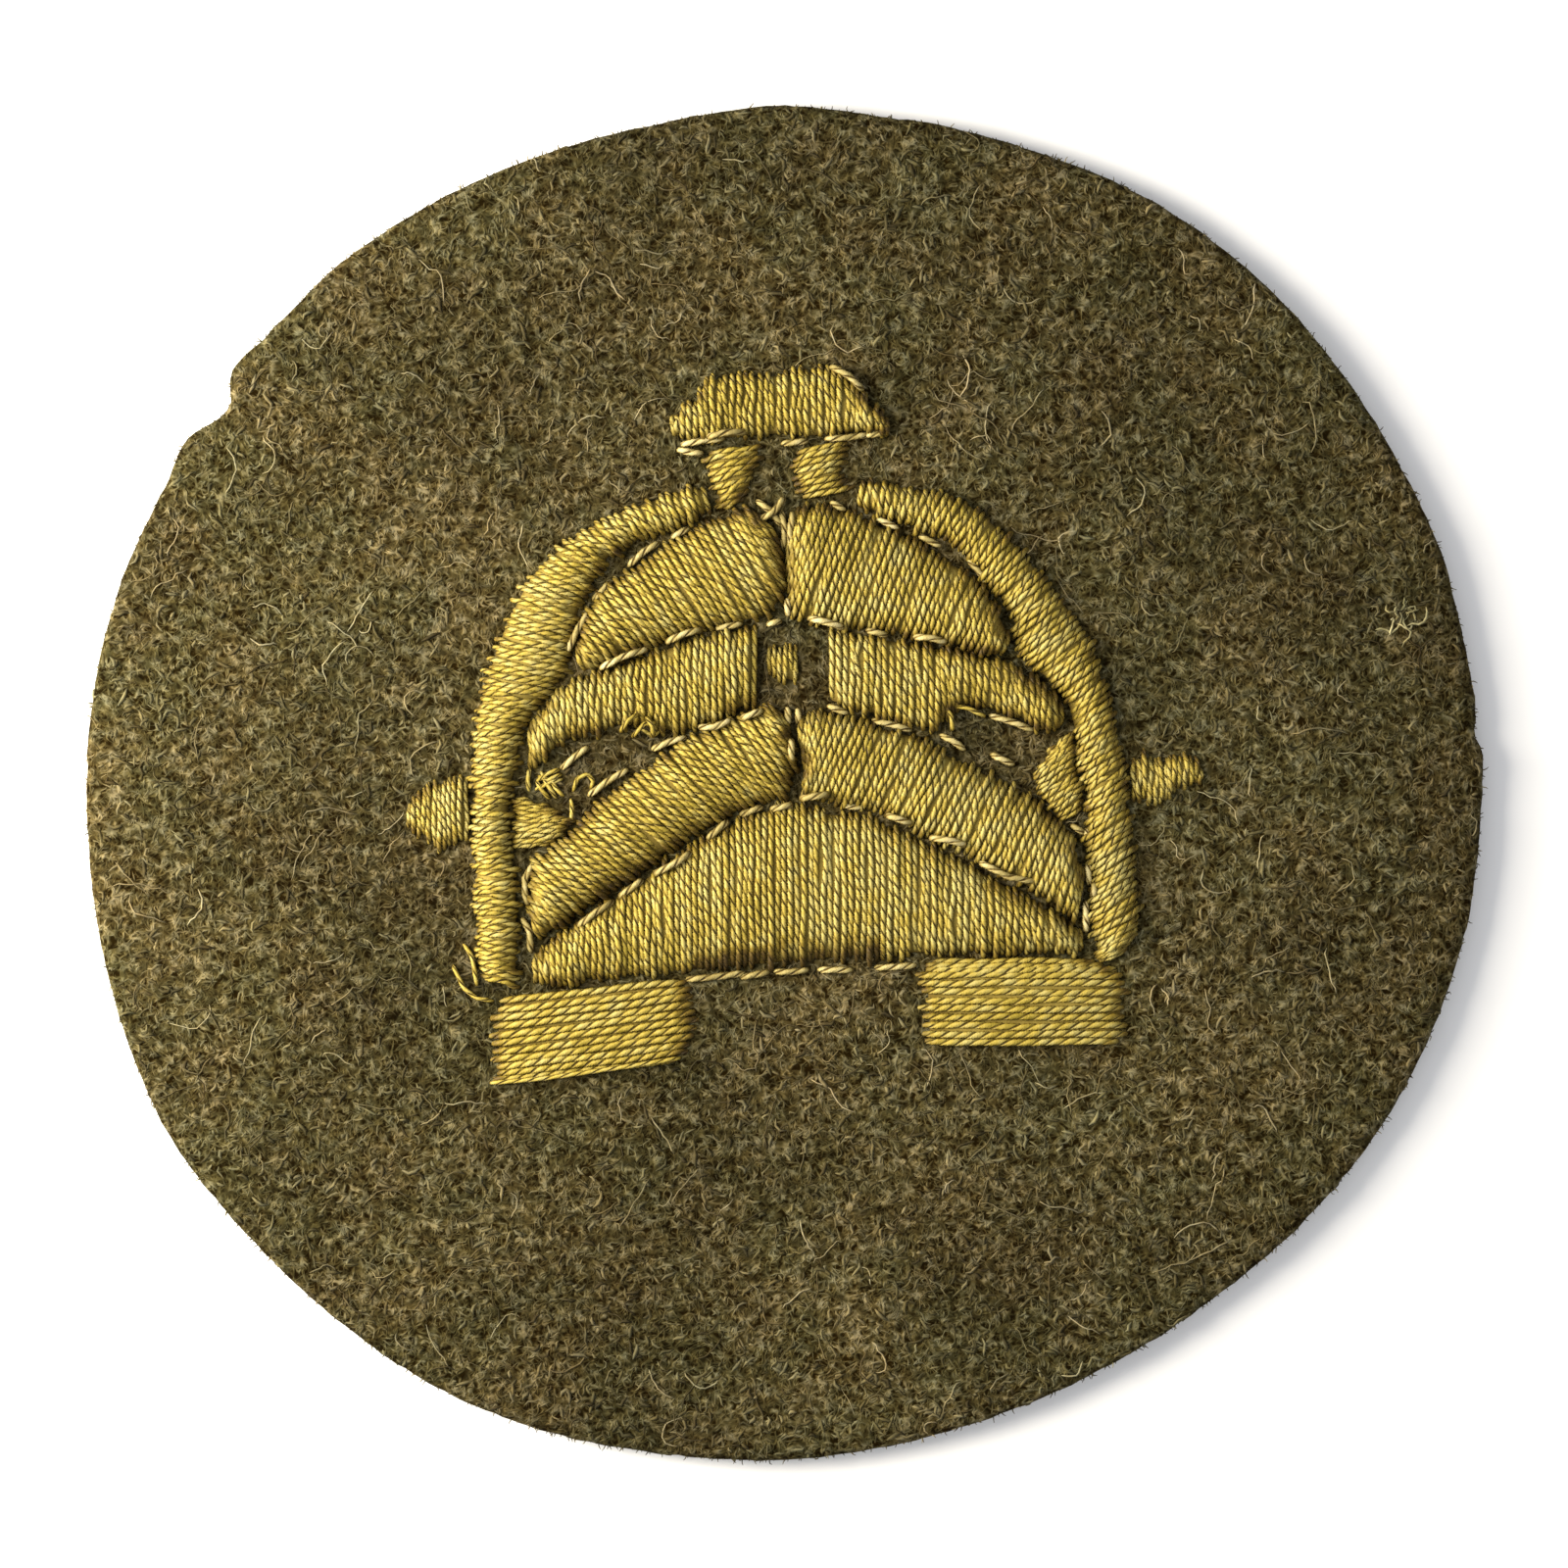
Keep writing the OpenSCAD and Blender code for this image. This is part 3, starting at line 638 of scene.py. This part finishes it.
def row_at(rows, places, at):
    """The stitch at a distance along the block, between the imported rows."""
    i = max(k for k in range(len(places) - 1) if places[k] <= max(at, 0))
    share = (at - places[i]) / max(places[i + 1] - places[i], 1e-9)
    (a, b, top), (c, d, next_top) = rows[i], rows[i + 1]
    return a.lerp(c, share), b.lerp(d, share), top + (next_top - top) * share


def rise(share, fullness):
    """Height over a section at a share of its width, from 0 at the sides to 1 in the middle."""
    return (1 - abs(2 * share - 1) ** fullness) ** (1 / fullness)


def arched(start, end, top, low, fullness, steps=48):
    """Points over a block from start to end: up out of the cloth, across, and down again."""
    line = []
    for k in range(steps + 1):
        share = (1 - math.cos(math.pi * k / steps)) / 2
        point = start.lerp(end, share)
        line.append(Vector((point.x, point.y, low + (top - low) * rise(share, fullness))))
    return line


def twisted(line, thread, phase, rng, ends=0.62, taper=0.9 * MM, twist=1.0, width=1.0):
    """A line with the width and turn of a twisted thread at each point. It is pulled thin where it dives."""
    count = len(line) - 1
    wander = rng.uniform(0, 100)
    path = []
    for k, point in enumerate(line):
        from_middle = (k - count / 2) * thread.ring_step
        slack = 1.1 * noise.noise(Vector((point.x * 300, point.y * 300, 5)))
        turn = phase + slack - 2 * math.pi * from_middle / (thread.twist_length * twist)
        share = width + 0.09 * noise.noise(Vector((wander, point.x, point.y + k * 0.21)))
        from_end = min(1.0, min(k, count - k) * thread.ring_step / taper)
        share *= ends + (1 - ends) * math.sin(math.pi / 2 * from_end)
        path.append((point, share, turn))
    return path


def block_paths(rows, thread, coarse, stray, fullness, rng):
    """The threads of one block, side by side. Each is turned a little more than the last, so they bed in."""
    places = row_places(rows)
    count = max(2, round(places[-1] / (thread.spacing * coarse)))
    way, across = rows[-1][0] - rows[0][0], rows[0][1] - rows[0][0]
    turned = BEDDING_TURN if across.cross(way).z > 0 else -BEDDING_TURN
    gap, out = places[-1] / count, 0.3 * thread.ply_radius
    paths = []
    for k in range(count):
        start, _, top = row_at(rows, places, gap * (k + 0.5 + rng.uniform(-stray, stray)))
        _, end, _ = row_at(rows, places, gap * (k + 0.5 + rng.uniform(-stray, stray)))
        along = (end - start).normalized()
        start = start + along * (rng.gauss(END_SHIFT, END_SPREAD) * MM - out)
        end = end - along * (rng.gauss(END_SHIFT, END_SPREAD) * MM - out)
        crest = top - thread.ply_radius * THREAD_DEPTH + rng.uniform(-0.06, 0.03) * MM
        line = arched(start, end, crest, CLOTH_TOP - THREAD_ROOT, fullness)
        line = swayed(line, rng, LOOSE_SWAY if rng.random() < LOOSE_SHARE else SWAY)
        phase = k * turned + rng.gauss(0, TURN_SPREAD)
        twist = coarse * rng.uniform(0.9, 1.1)
        paths.append(twisted(evenly(line, thread.ring_step), thread, phase, rng, twist=twist, width=coarse))
    return paths


def swayed(line, rng, most):
    """A line that wanders a little to both sides, as thread laid by hand does."""
    side = (line[-1] - line[0]).normalized().cross(Vector((0, 0, 1)))
    seed, last = rng.uniform(0, 100), len(line) - 1
    for k, point in enumerate(line):
        free = math.sin(math.pi * k / last)
        point += side * (most * free * 2 * noise.noise(Vector((seed, k / last * 4, 0))))
    return line


def padding_mesh(rows, thread, fullness):
    """The padding under a block: a sheet just below the threads that closes the gaps between them."""
    places = row_places(rows)
    across, along = 12, max(4, round(places[-1] / PADDING_STEP))
    sheet = bmesh.new()
    bmesh.ops.create_grid(sheet, x_segments=along, y_segments=across, size=1)
    for vert in sheet.verts:
        at = PADDING_MARGIN + (vert.co.x + 1) / 2 * (places[-1] - 2 * PADDING_MARGIN)
        start, end, top = row_at(rows, places, at)
        reach = (end - start).normalized() * (thread.ply_radius * 0.8)
        line = arched(start + reach, end - reach, top - thread.ply_radius * PADDING_DEPTH,
                      CLOTH_TOP - PADDING_ROOT, fullness, across)
        vert.co = line[round((vert.co.y + 1) / 2 * across)]
    bmesh.ops.solidify(sheet, geom=sheet.faces[:], thickness=PADDING_THICKNESS)
    bmesh.ops.recalc_face_normals(sheet, faces=sheet.faces)
    return finished(sheet, "padding")


def joined(name, first, second):
    """Two meshes as one, the second smooth and with the second material."""
    both = bmesh.new()
    both.from_mesh(first)
    count = len(both.faces)
    both.from_mesh(second)
    both.faces.ensure_lookup_table()
    for face in both.faces[count:]:
        face.material_index = 1
        face.smooth = True
    return finished(both, name)


def single_stitch(row, thread, rng, tree, width):
    """One stitch through the cloth that lies over whatever is under it."""
    flat = [Vector((x * MM, y * MM, 0)) for x, y in zip(row[::2], row[1::2])]
    line = evenly(flat, 0.12 * MM)
    tops = [max(top_of(tree, p.x, p.y) or CLOTH_TOP, CLOTH_TOP) for p in line]
    bed = min(max(tops), sorted(tops)[len(tops) // 2] + 0.25 * MM)
    low, high = CLOTH_TOP - STITCH_ROOT, bed + thread.ply_radius * 1.4
    laid = [Vector((p.x, p.y, low + (high - low) * rise(k / (len(line) - 1), FULL_STITCH)))
            for k, p in enumerate(line)]
    return twisted(evenly(laid, thread.ring_step), thread, rng.uniform(0, math.pi), rng, ends=0.5,
                   taper=0.5 * MM, twist=1.3, width=width)


def sew(context, groups, kind, first_seed, width, material):
    """Adds groups of single stitches, each group as a piece of its own that is named after its kind."""
    thread = context.scene.patch_thread
    section, tree = two_ply_section(thread.ply_radius), tree_over_blocks()
    for number, (group, rows) in enumerate(groups.items()):
        rng, name = random.Random(first_seed + number), f"{kind}_{group}"
        paths = [single_stitch(row, thread, rng, tree, width) for row in rows]
        show(name, swept(name, section, paths), [material])
    discard(section)
    return {"FINISHED"}


# --- Wool --------------------------------------------------------------------------------------


def cut_edge():
    """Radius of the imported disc's cut edge by direction, as sorted (angle, radius)."""
    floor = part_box("wool_disc")[0].z + SAME_POINT
    points = [v.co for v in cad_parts["wool_disc"].data.vertices if v.co.z < floor]
    found = {round(math.atan2(p.y, p.x), 6): p.xy.length for p in points if p.xy.length > 30 * MM}
    return sorted(found.items())


def edge_radius(edge, angle):
    """Radius of the cut edge in one direction."""
    angle = (angle + math.pi) % (2 * math.pi) - math.pi
    after = next((k for k, (a, _) in enumerate(edge) if a > angle), 0)
    (a, r), (b, s) = edge[after - 1], edge[after]
    turn = (b - a) % (2 * math.pi)
    share = ((angle - a) % (2 * math.pi)) / turn
    return r + (s - r) * share


def cloth_mesh(wool, blocks):
    """The disc: a cut edge rounded by wear, a gently uneven face, and dips where the thread pulls it in."""
    edge, columns = cut_edge(), wool.columns
    reach = [edge_radius(edge, 2 * math.pi * k / columns) for k in range(columns)]
    gap, inner = wool.ring_gap, EDGE_PROFILE[-1][0]
    backs = [(0.3 + 3.3 * k, BACK_HEIGHT) for k in range(10, 0, -1)]
    fronts = [(inner + gap / MM * k, FACE_HEIGHT) for k in range(1, int(FACE_WIDTH * MM / gap))]
    disc = lofted([*backs, *EDGE_PROFILE, *fronts], reach)
    for vert in disc.verts:
        vert.co = uneven(vert.co, blocks)
    bmesh.ops.recalc_face_normals(disc, faces=disc.faces)
    mesh = finished(disc, "wool_cloth")
    mesh.shade_smooth()
    return mesh


def lofted(rings, reach):
    """A closed disc through rings, each given as its distance in from the outline and its height."""
    disc, columns = bmesh.new(), len(reach)
    circle = bmesh.ops.create_circle(disc, cap_ends=True, cap_tris=True, segments=columns, radius=1)["verts"]
    edges = [e for e in disc.edges if len(e.link_faces) == 1]
    order = ring_order(circle)
    set_ring(order, reach, *rings[0])
    for ring in rings[1:]:
        edges, order = next_ring(disc, edges, order)
        set_ring(order, reach, *ring)
    bmesh.ops.contextual_create(disc, geom=edges)
    bmesh.ops.triangulate(disc, faces=[f for f in disc.faces if len(f.verts) > 4])
    return disc


def next_ring(disc, edges, order):
    """Extrudes the open edges of a disc. Gives the new edges, and the new vertices in the old order."""
    grown = bmesh.ops.extrude_edge_only(disc, edges=edges)["geom"]
    edges = [g for g in grown if isinstance(g, bmesh.types.BMEdge) and len(g.link_faces) == 1]
    old, after = set(order), {}
    for vert in (g for g in grown if isinstance(g, bmesh.types.BMVert)):
        after[next(v for v in (e.other_vert(vert) for e in vert.link_edges) if v in old)] = vert
    return edges, [after[v] for v in order]


def ring_order(verts):
    """A circle's vertices by direction, without its middle."""
    outer = [v for v in verts if v.co.length > 0.5]
    return sorted(outer, key=lambda v: math.atan2(v.co.y, v.co.x) % (2 * math.pi))


def set_ring(order, reach, inset, height):
    """Puts a ring's vertices at a distance in from the outline and a height, both in millimetres."""
    for k, (vert, radius) in enumerate(zip(order, reach)):
        angle = 2 * math.pi * k / len(order)
        out = max(radius - inset * MM, 0.3 * MM)
        vert.co = (out * math.cos(angle), out * math.sin(angle), height * MM)


def uneven(point, blocks):
    """Where a point of the cloth really lies: milled cloth is never flat, and stitching pulls it in."""
    p = point.copy()
    out = p.xy.length
    if out > ROUGH_FROM:
        rough = ROUGHNESS * noise.noise(Vector((p.x * 1500, p.y * 1500, p.z * 1500)))
        p.xy = p.xy * (1 + rough / out)
    if p.z < FACE_FROM:
        return p
    swell = sum(high * noise.noise(Vector((p.x * waves, p.y * waves, layer)))
                for high, waves, layer in SWELLS)
    near = blocks.find_nearest(Vector((p.x, p.y, CLOTH_TOP + 0.02 * MM)))[3]
    p.z += (swell - PULL_DEPTH * max(0.0, 1 - near / PULL_REACH) ** 2) * MM
    return p


def fibre_paths(count, kind, rng, cloth, blocks, edge):
    """Curly fibres that lie on the face of the cloth, clear of the stitching."""
    paths = []
    while len(paths) < count:
        angle = rng.uniform(0, 2 * math.pi)
        out = edge_radius(edge, angle) * math.sqrt(rng.random())
        path = crawl(out * math.cos(angle), out * math.sin(angle), kind, rng, cloth, blocks)
        if len(path) > kind["steps"] / 2:
            paths.append(path)
    return paths


def fringe_paths(count, rng, edge):
    """Short fibres that stand out of the cut edge."""
    paths = []
    for _ in range(count):
        angle, height = rng.uniform(0, 2 * math.pi), rng.uniform(0.25, 1.45) * MM
        out, step = edge_radius(edge, angle) - 0.1 * MM, rng.uniform(0.04, 0.12) * MM
        heading, climb = angle + rng.gauss(0, 0.8), rng.gauss(0, 0.3)
        point = Vector((out * math.cos(angle), out * math.sin(angle), height))
        path = [(point, 0.7, 0.0)]
        for share in (0.7, 0.55, 0.3):
            heading += rng.gauss(0, 0.4)
            point = point + step * Vector((math.cos(heading), math.sin(heading), climb))
            path.append((point, share, 0.0))
        paths.append(path)
    return paths


def lint_paths(rng, cloth, blocks):
    """The fibres of one pale fleck of lint."""
    x, y = LINT_PLACE
    return [crawl(rng.gauss(x, LINT_SPREAD), rng.gauss(y, LINT_SPREAD), LINT_FIBRE, rng, cloth, blocks)
            for _ in range(LINT_COUNT)]


def crawl(x, y, kind, rng, cloth, blocks):
    """One fibre from a place on the cloth, until it has its length or meets the stitching."""
    steps = kind["steps"]
    step = kind["length"] * rng.uniform(0.5, 1.5) / steps
    heading, curl = rng.choice((0, math.pi)) + rng.gauss(0, 0.9), rng.gauss(0, kind["curl"] * 0.35)
    lift, thick = min(rng.expovariate(1 / kind["lift"]), HIGHEST_FIBRE), rng.uniform(0.7, 1.2)
    path = []
    for k in range(steps + 1):
        ground = top_of(cloth, x, y)
        if ground is None or top_of(blocks, x, y) is not None:
            break
        arch = math.sin(math.pi * (k + 0.3) / (steps + 0.6))
        share = thick * (0.4 if k in (0, steps) else 1.0)
        path.append((Vector((x, y, ground + lift * arch - 0.3 * kind["radius"])), share, 0.0))
        heading += curl + rng.gauss(0, kind["curl"] * 1.1)
        x += step * math.cos(heading)
        y += step * math.sin(heading)
    return path


# --- Settings ----------------------------------------------------------------------------------


class PatchThreadSettings(bpy.types.PropertyGroup):
    """Sizes and colours of the embroidery thread"""

    spacing: bpy.props.FloatProperty(
        name="Thread spacing", description="Distance between neighbouring threads of a block",
        default=0.338 * MM, min=0.2 * MM, max=0.8 * MM, unit="LENGTH", precision=5)
    ply_radius: bpy.props.FloatProperty(
        name="Ply radius", description="Radius of each of the thread's two plies",
        default=0.149 * MM, min=0.05 * MM, max=0.25 * MM, unit="LENGTH", precision=5)
    twist_length: bpy.props.FloatProperty(
        name="Twist length", description="Length of thread in which the plies turn once round each other",
        default=1.22 * MM, min=0.5 * MM, max=5 * MM, unit="LENGTH", precision=5)
    ring_step: bpy.props.FloatProperty(
        name="Ring step", description="Length of the faces along a thread",
        default=0.13 * MM, min=0.05 * MM, max=0.5 * MM, unit="LENGTH", precision=5)
    dark_hex: bpy.props.StringProperty(
        name="Darkest thread", description="sRGB colour of the deepest dyed thread", default="#8a7820")
    mid_hex: bpy.props.StringProperty(
        name="Thread", description="sRGB colour of most of the thread", default="#ad983e")
    pale_hex: bpy.props.StringProperty(
        name="Palest thread", description="sRGB colour of thread where the dye is thin", default="#b2a45d")


class PatchWoolSettings(bpy.types.PropertyGroup):
    """Fibres, faces and colours of the cloth"""

    short_count: bpy.props.IntProperty(
        name="Short fibres", description="How many short matted fibres the face has", default=10500, min=0,
        max=15000)
    long_count: bpy.props.IntProperty(
        name="Long fibres", description="How many long loose fibres the face has", default=520, min=0,
        max=3000)
    fringe_count: bpy.props.IntProperty(
        name="Fringe", description="How many fibres stand out of the cut edge", default=1200, min=0, max=3000)
    columns: bpy.props.IntProperty(
        name="Columns", description="Faces round the cloth's edge", default=480, min=60, max=720)
    ring_gap: bpy.props.FloatProperty(
        name="Ring gap", description="Length of the cloth's faces towards the middle", default=0.58 * MM,
        min=0.3 * MM, max=3 * MM, unit="LENGTH", precision=5)
    fibre_hex: bpy.props.StringProperty(
        name="Fibre", description="sRGB colour of the fibres that lie on top", default="#79735e")
    ground_hex: bpy.props.StringProperty(
        name="Ground", description="sRGB colour of the cloth between the fibres", default="#4a442c")
    # The pits' colour is painted shade between the fibres
    pit_shade_hex: bpy.props.StringProperty(
        name="Pits", description="sRGB colour deep between the fibres", default="#1a1202")


class PatchStageSettings(bpy.types.PropertyGroup):
    """Floor, view and light"""

    floor_colour: bpy.props.FloatVectorProperty(
        name="Floor", description="Colour of the board that the patch lies on", subtype="COLOR",
        default=linear("#f4f4f2"), min=0, max=1)
    view_width: bpy.props.FloatProperty(
        name="View width", description="Width that the camera sees at the patch", default=78.2 * MM,
        min=40 * MM, max=300 * MM, unit="LENGTH")
    near_power: bpy.props.FloatProperty(
        name="Near lamp", description="Power of the lamp close by at the left, in watts", default=0.46,
        min=0, max=50, unit="POWER")
    far_power: bpy.props.FloatProperty(
        name="Far lamp", description="Power of the lamp further off at the left, in watts", default=1.6,
        min=0, max=100, unit="POWER")
    fill: bpy.props.FloatProperty(
        name="Room light", description="Strength of the light from all round", default=0.74, min=0, max=3)


# --- Operators ---------------------------------------------------------------------------------


class PATCH_OT_set_stage(bpy.types.Operator):
    """Sets the pale floor, the soft light from the left and the camera straight above"""

    bl_idname = "patch.set_stage"
    bl_label = "Set the stage"

    def execute(self, context):
        stage, scene = context.scene.patch_stage, context.scene
        ground = bmesh.new()
        bmesh.ops.create_grid(ground, x_segments=8, y_segments=8, size=0.6)
        floor = placed("floor", finished(ground, "floor"))
        floor.data.materials.append(floor_material(stage))
        scene.camera = camera_above(stage.view_width)
        add_light("near_lamp", (-0.105, 0.015, 0.06), (0.06, 0.12), stage.near_power, "#fff6e6")
        add_light("far_lamp", (-0.5, 0.05, 0.15), (0.3, 0.2), stage.far_power, "#fff8ea")
        scene.world = room_light("#f6f7fc", stage.fill)
        scene.view_settings.view_transform = "Standard"
        return {"FINISHED"}


def camera_above(width):
    """A camera that looks straight down and sees that width at the top of the patch."""
    lens, sensor = 85, 36
    camera = placed("camera", bpy.data.cameras.new("camera"))
    camera.data.lens, camera.data.sensor_width = lens, sensor
    camera.data.clip_start, camera.data.clip_end = 0.01, 10
    camera.location = (-0.05 * MM, -0.05 * MM, 2 * MM + width * lens / sensor)
    return camera


def room_light(colour, strength):
    """A world that lights the patch evenly from all round."""
    world = bpy.data.worlds.new("room")
    world.use_nodes = True
    sky = world.node_tree.nodes["Background"]
    sky.inputs["Color"].default_value = (*linear(colour), 1)
    sky.inputs["Strength"].default_value = strength
    return world


def add_light(name, place, size, power, colour):
    """A soft light of a width and height that looks at the patch."""
    data = bpy.data.lights.new(name, "AREA")
    data.shape = "RECTANGLE"
    data.size, data.size_y = size
    data.energy, data.color = power, linear(colour)
    light = placed(name, data)
    light.location = place
    light.rotation_mode = "QUATERNION"
    light.rotation_quaternion = (-Vector(place)).to_track_quat("-Z", "Y")


class PATCH_OT_lay_cloth(bpy.types.Operator):
    """Lays the hand-cut disc of milled wool on its back"""

    bl_idname = "patch.lay_cloth"
    bl_label = "Lay the cloth"

    def execute(self, context):
        wool = context.scene.patch_wool
        mesh = cloth_mesh(wool, tree_over_blocks())
        cloth = show("wool_cloth", mesh, [wool_cloth_material(wool)], ["wool_disc"])
        return {"FINISHED"}


class PATCH_OT_raise_nap(bpy.types.Operator):
    """Raises the loose curly fibres on the face of the cloth"""

    bl_idname = "patch.raise_nap"
    bl_label = "Raise the nap"

    def execute(self, context):
        wool = context.scene.patch_wool
        cloth, blocks = tree_over(bpy.data.objects["wool_cloth"]), tree_over_blocks()
        matted = wool_fibre_material("Matted wool fibre", "#39321c", "#565037", "#746e56")
        loose = wool_fibre_material("Loose wool fibre", "#3a321c", "#655d44", "#9a927a")
        lint = wool_fibre_material("Pale lint", "#8a8666", "#a5a07e", "#c2bd9c")
        rng, edge = random.Random(7), cut_edge()
        third = wool.short_count // 3
        layers = [(f"matted_{part}", third, SHORT_FIBRE, matted) for part in "abc"]
        for name, count, kind, material in (*layers, ("loose", wool.long_count, LONG_FIBRE, loose)):
            paths = fibre_paths(count, kind, rng, cloth, blocks, edge)
            show_fibres(f"nap_{name}", paths, kind, material)
        show_fibres("nap_fringe", fringe_paths(wool.fringe_count, rng, edge), LONG_FIBRE, loose)
        show_fibres("lint_fleck", lint_paths(rng, cloth, blocks), LINT_FIBRE, lint)
        return {"FINISHED"}


def show_fibres(name, paths, kind, material):
    """Shows fibres of one kind as a piece."""
    section = flat_section(kind["radius"])
    show(name, swept(name, section, paths), [material])
    discard(section)


class PATCH_OT_work_blocks(bpy.types.Operator):
    """Works every block of satin stitch, thread by thread, over its padding"""

    bl_idname = "patch.work_blocks"
    bl_label = "Work the satin stitch"

    def execute(self, context):
        thread = context.scene.patch_thread
        section = two_ply_section(thread.ply_radius)
        gold = gold_thread(thread)
        # The padding thread is a darker copy of the satin thread's colours: painted shade between the threads
        shade = thread_material("Padding thread", "#6a5a20", "#7a6828", "#8a7834", "#a08c5c", 0.9)
        for number, node in enumerate(STITCHED):
            others = tree_over_blocks(node, "centre_knot")
            seam = CLOSE_SEAM if node.startswith("gusset") else SEAM
            rng, rows = random.Random(100 + number), let_out(stitch_rows(node), others, seam)
            fullness = FULLNESS.get(node, FULL_COLUMN)
            stray = EVEN_STRAY if node in EVEN_BLOCKS else STRAY
            paths = block_paths(rows, thread, COARSENESS.get(node, 1.0), stray, fullness, rng)
            threads = swept(node, section, paths)
            mark_ends(threads, rows, node == "base_panel")
            mesh = joined(f"{node}_stitching", threads, padding_mesh(rows, thread, fullness))
            show(f"{node}_stitching", mesh, [gold, shade], [node])
        discard(section)
        return {"FINISHED"}


class PATCH_OT_outline(bpy.types.Operator):
    """Adds the single stitches that outline the blocks"""

    bl_idname = "patch.outline"
    bl_label = "Outline the blocks"

    def execute(self, context):
        # 94794a is the colour of this thread's deepest painted shade
        rubbed = thread_material("Rubbed cotton thread", "#7e6e38", "#a8985c", "#cabb84", "#94794a", 0.7)
        return sew(context, OUTLINE_STITCHES, "outline", 300, 1.08, rubbed)


class PATCH_OT_loosen(bpy.types.Operator):
    """Adds the stitches and thread ends that have worked loose"""

    bl_idname = "patch.loosen"
    bl_label = "Add the loose stitches"

    def execute(self, context):
        return sew(context, LOOSE_STITCHES, "loose", 500, 0.72, gold_thread(context.scene.patch_thread))


class PATCH_PT_making(bpy.types.Panel):
    """The sizes and colours of the patch, and the steps that make it"""

    bl_idname = "PATCH_PT_making"
    bl_label = "Embroidered patch"
    bl_space_type = "VIEW_3D"
    bl_region_type = "UI"
    bl_category = "Patch"

    def draw(self, context):
        for group in GROUPS:
            settings = getattr(context.scene, group)
            box = self.layout.box()
            for name in settings.__annotations__:
                box.prop(settings, name)
        for step in STEPS:
            self.layout.operator(step.bl_idname)


GROUPS = {"patch_stage": PatchStageSettings, "patch_wool": PatchWoolSettings,
          "patch_thread": PatchThreadSettings}
STEPS = (PATCH_OT_set_stage, PATCH_OT_lay_cloth, PATCH_OT_work_blocks, PATCH_OT_outline, PATCH_OT_loosen,
         PATCH_OT_raise_nap)


def register():
    for kind in (*GROUPS.values(), *STEPS, PATCH_PT_making):
        bpy.utils.register_class(kind)
    for name, kind in GROUPS.items():
        setattr(bpy.types.Scene, name, bpy.props.PointerProperty(type=kind))


def unregister():
    for name in GROUPS:
        delattr(bpy.types.Scene, name)
    for kind in (PATCH_PT_making, *STEPS, *GROUPS.values()):
        bpy.utils.unregister_class(kind)


def main():
    register()
    bpy.ops.patch.set_stage()
    bpy.ops.patch.lay_cloth()
    bpy.ops.patch.work_blocks()
    bpy.ops.patch.outline()
    bpy.ops.patch.loosen()
    bpy.ops.patch.raise_nap()


if __name__ == "__main__":
    main()
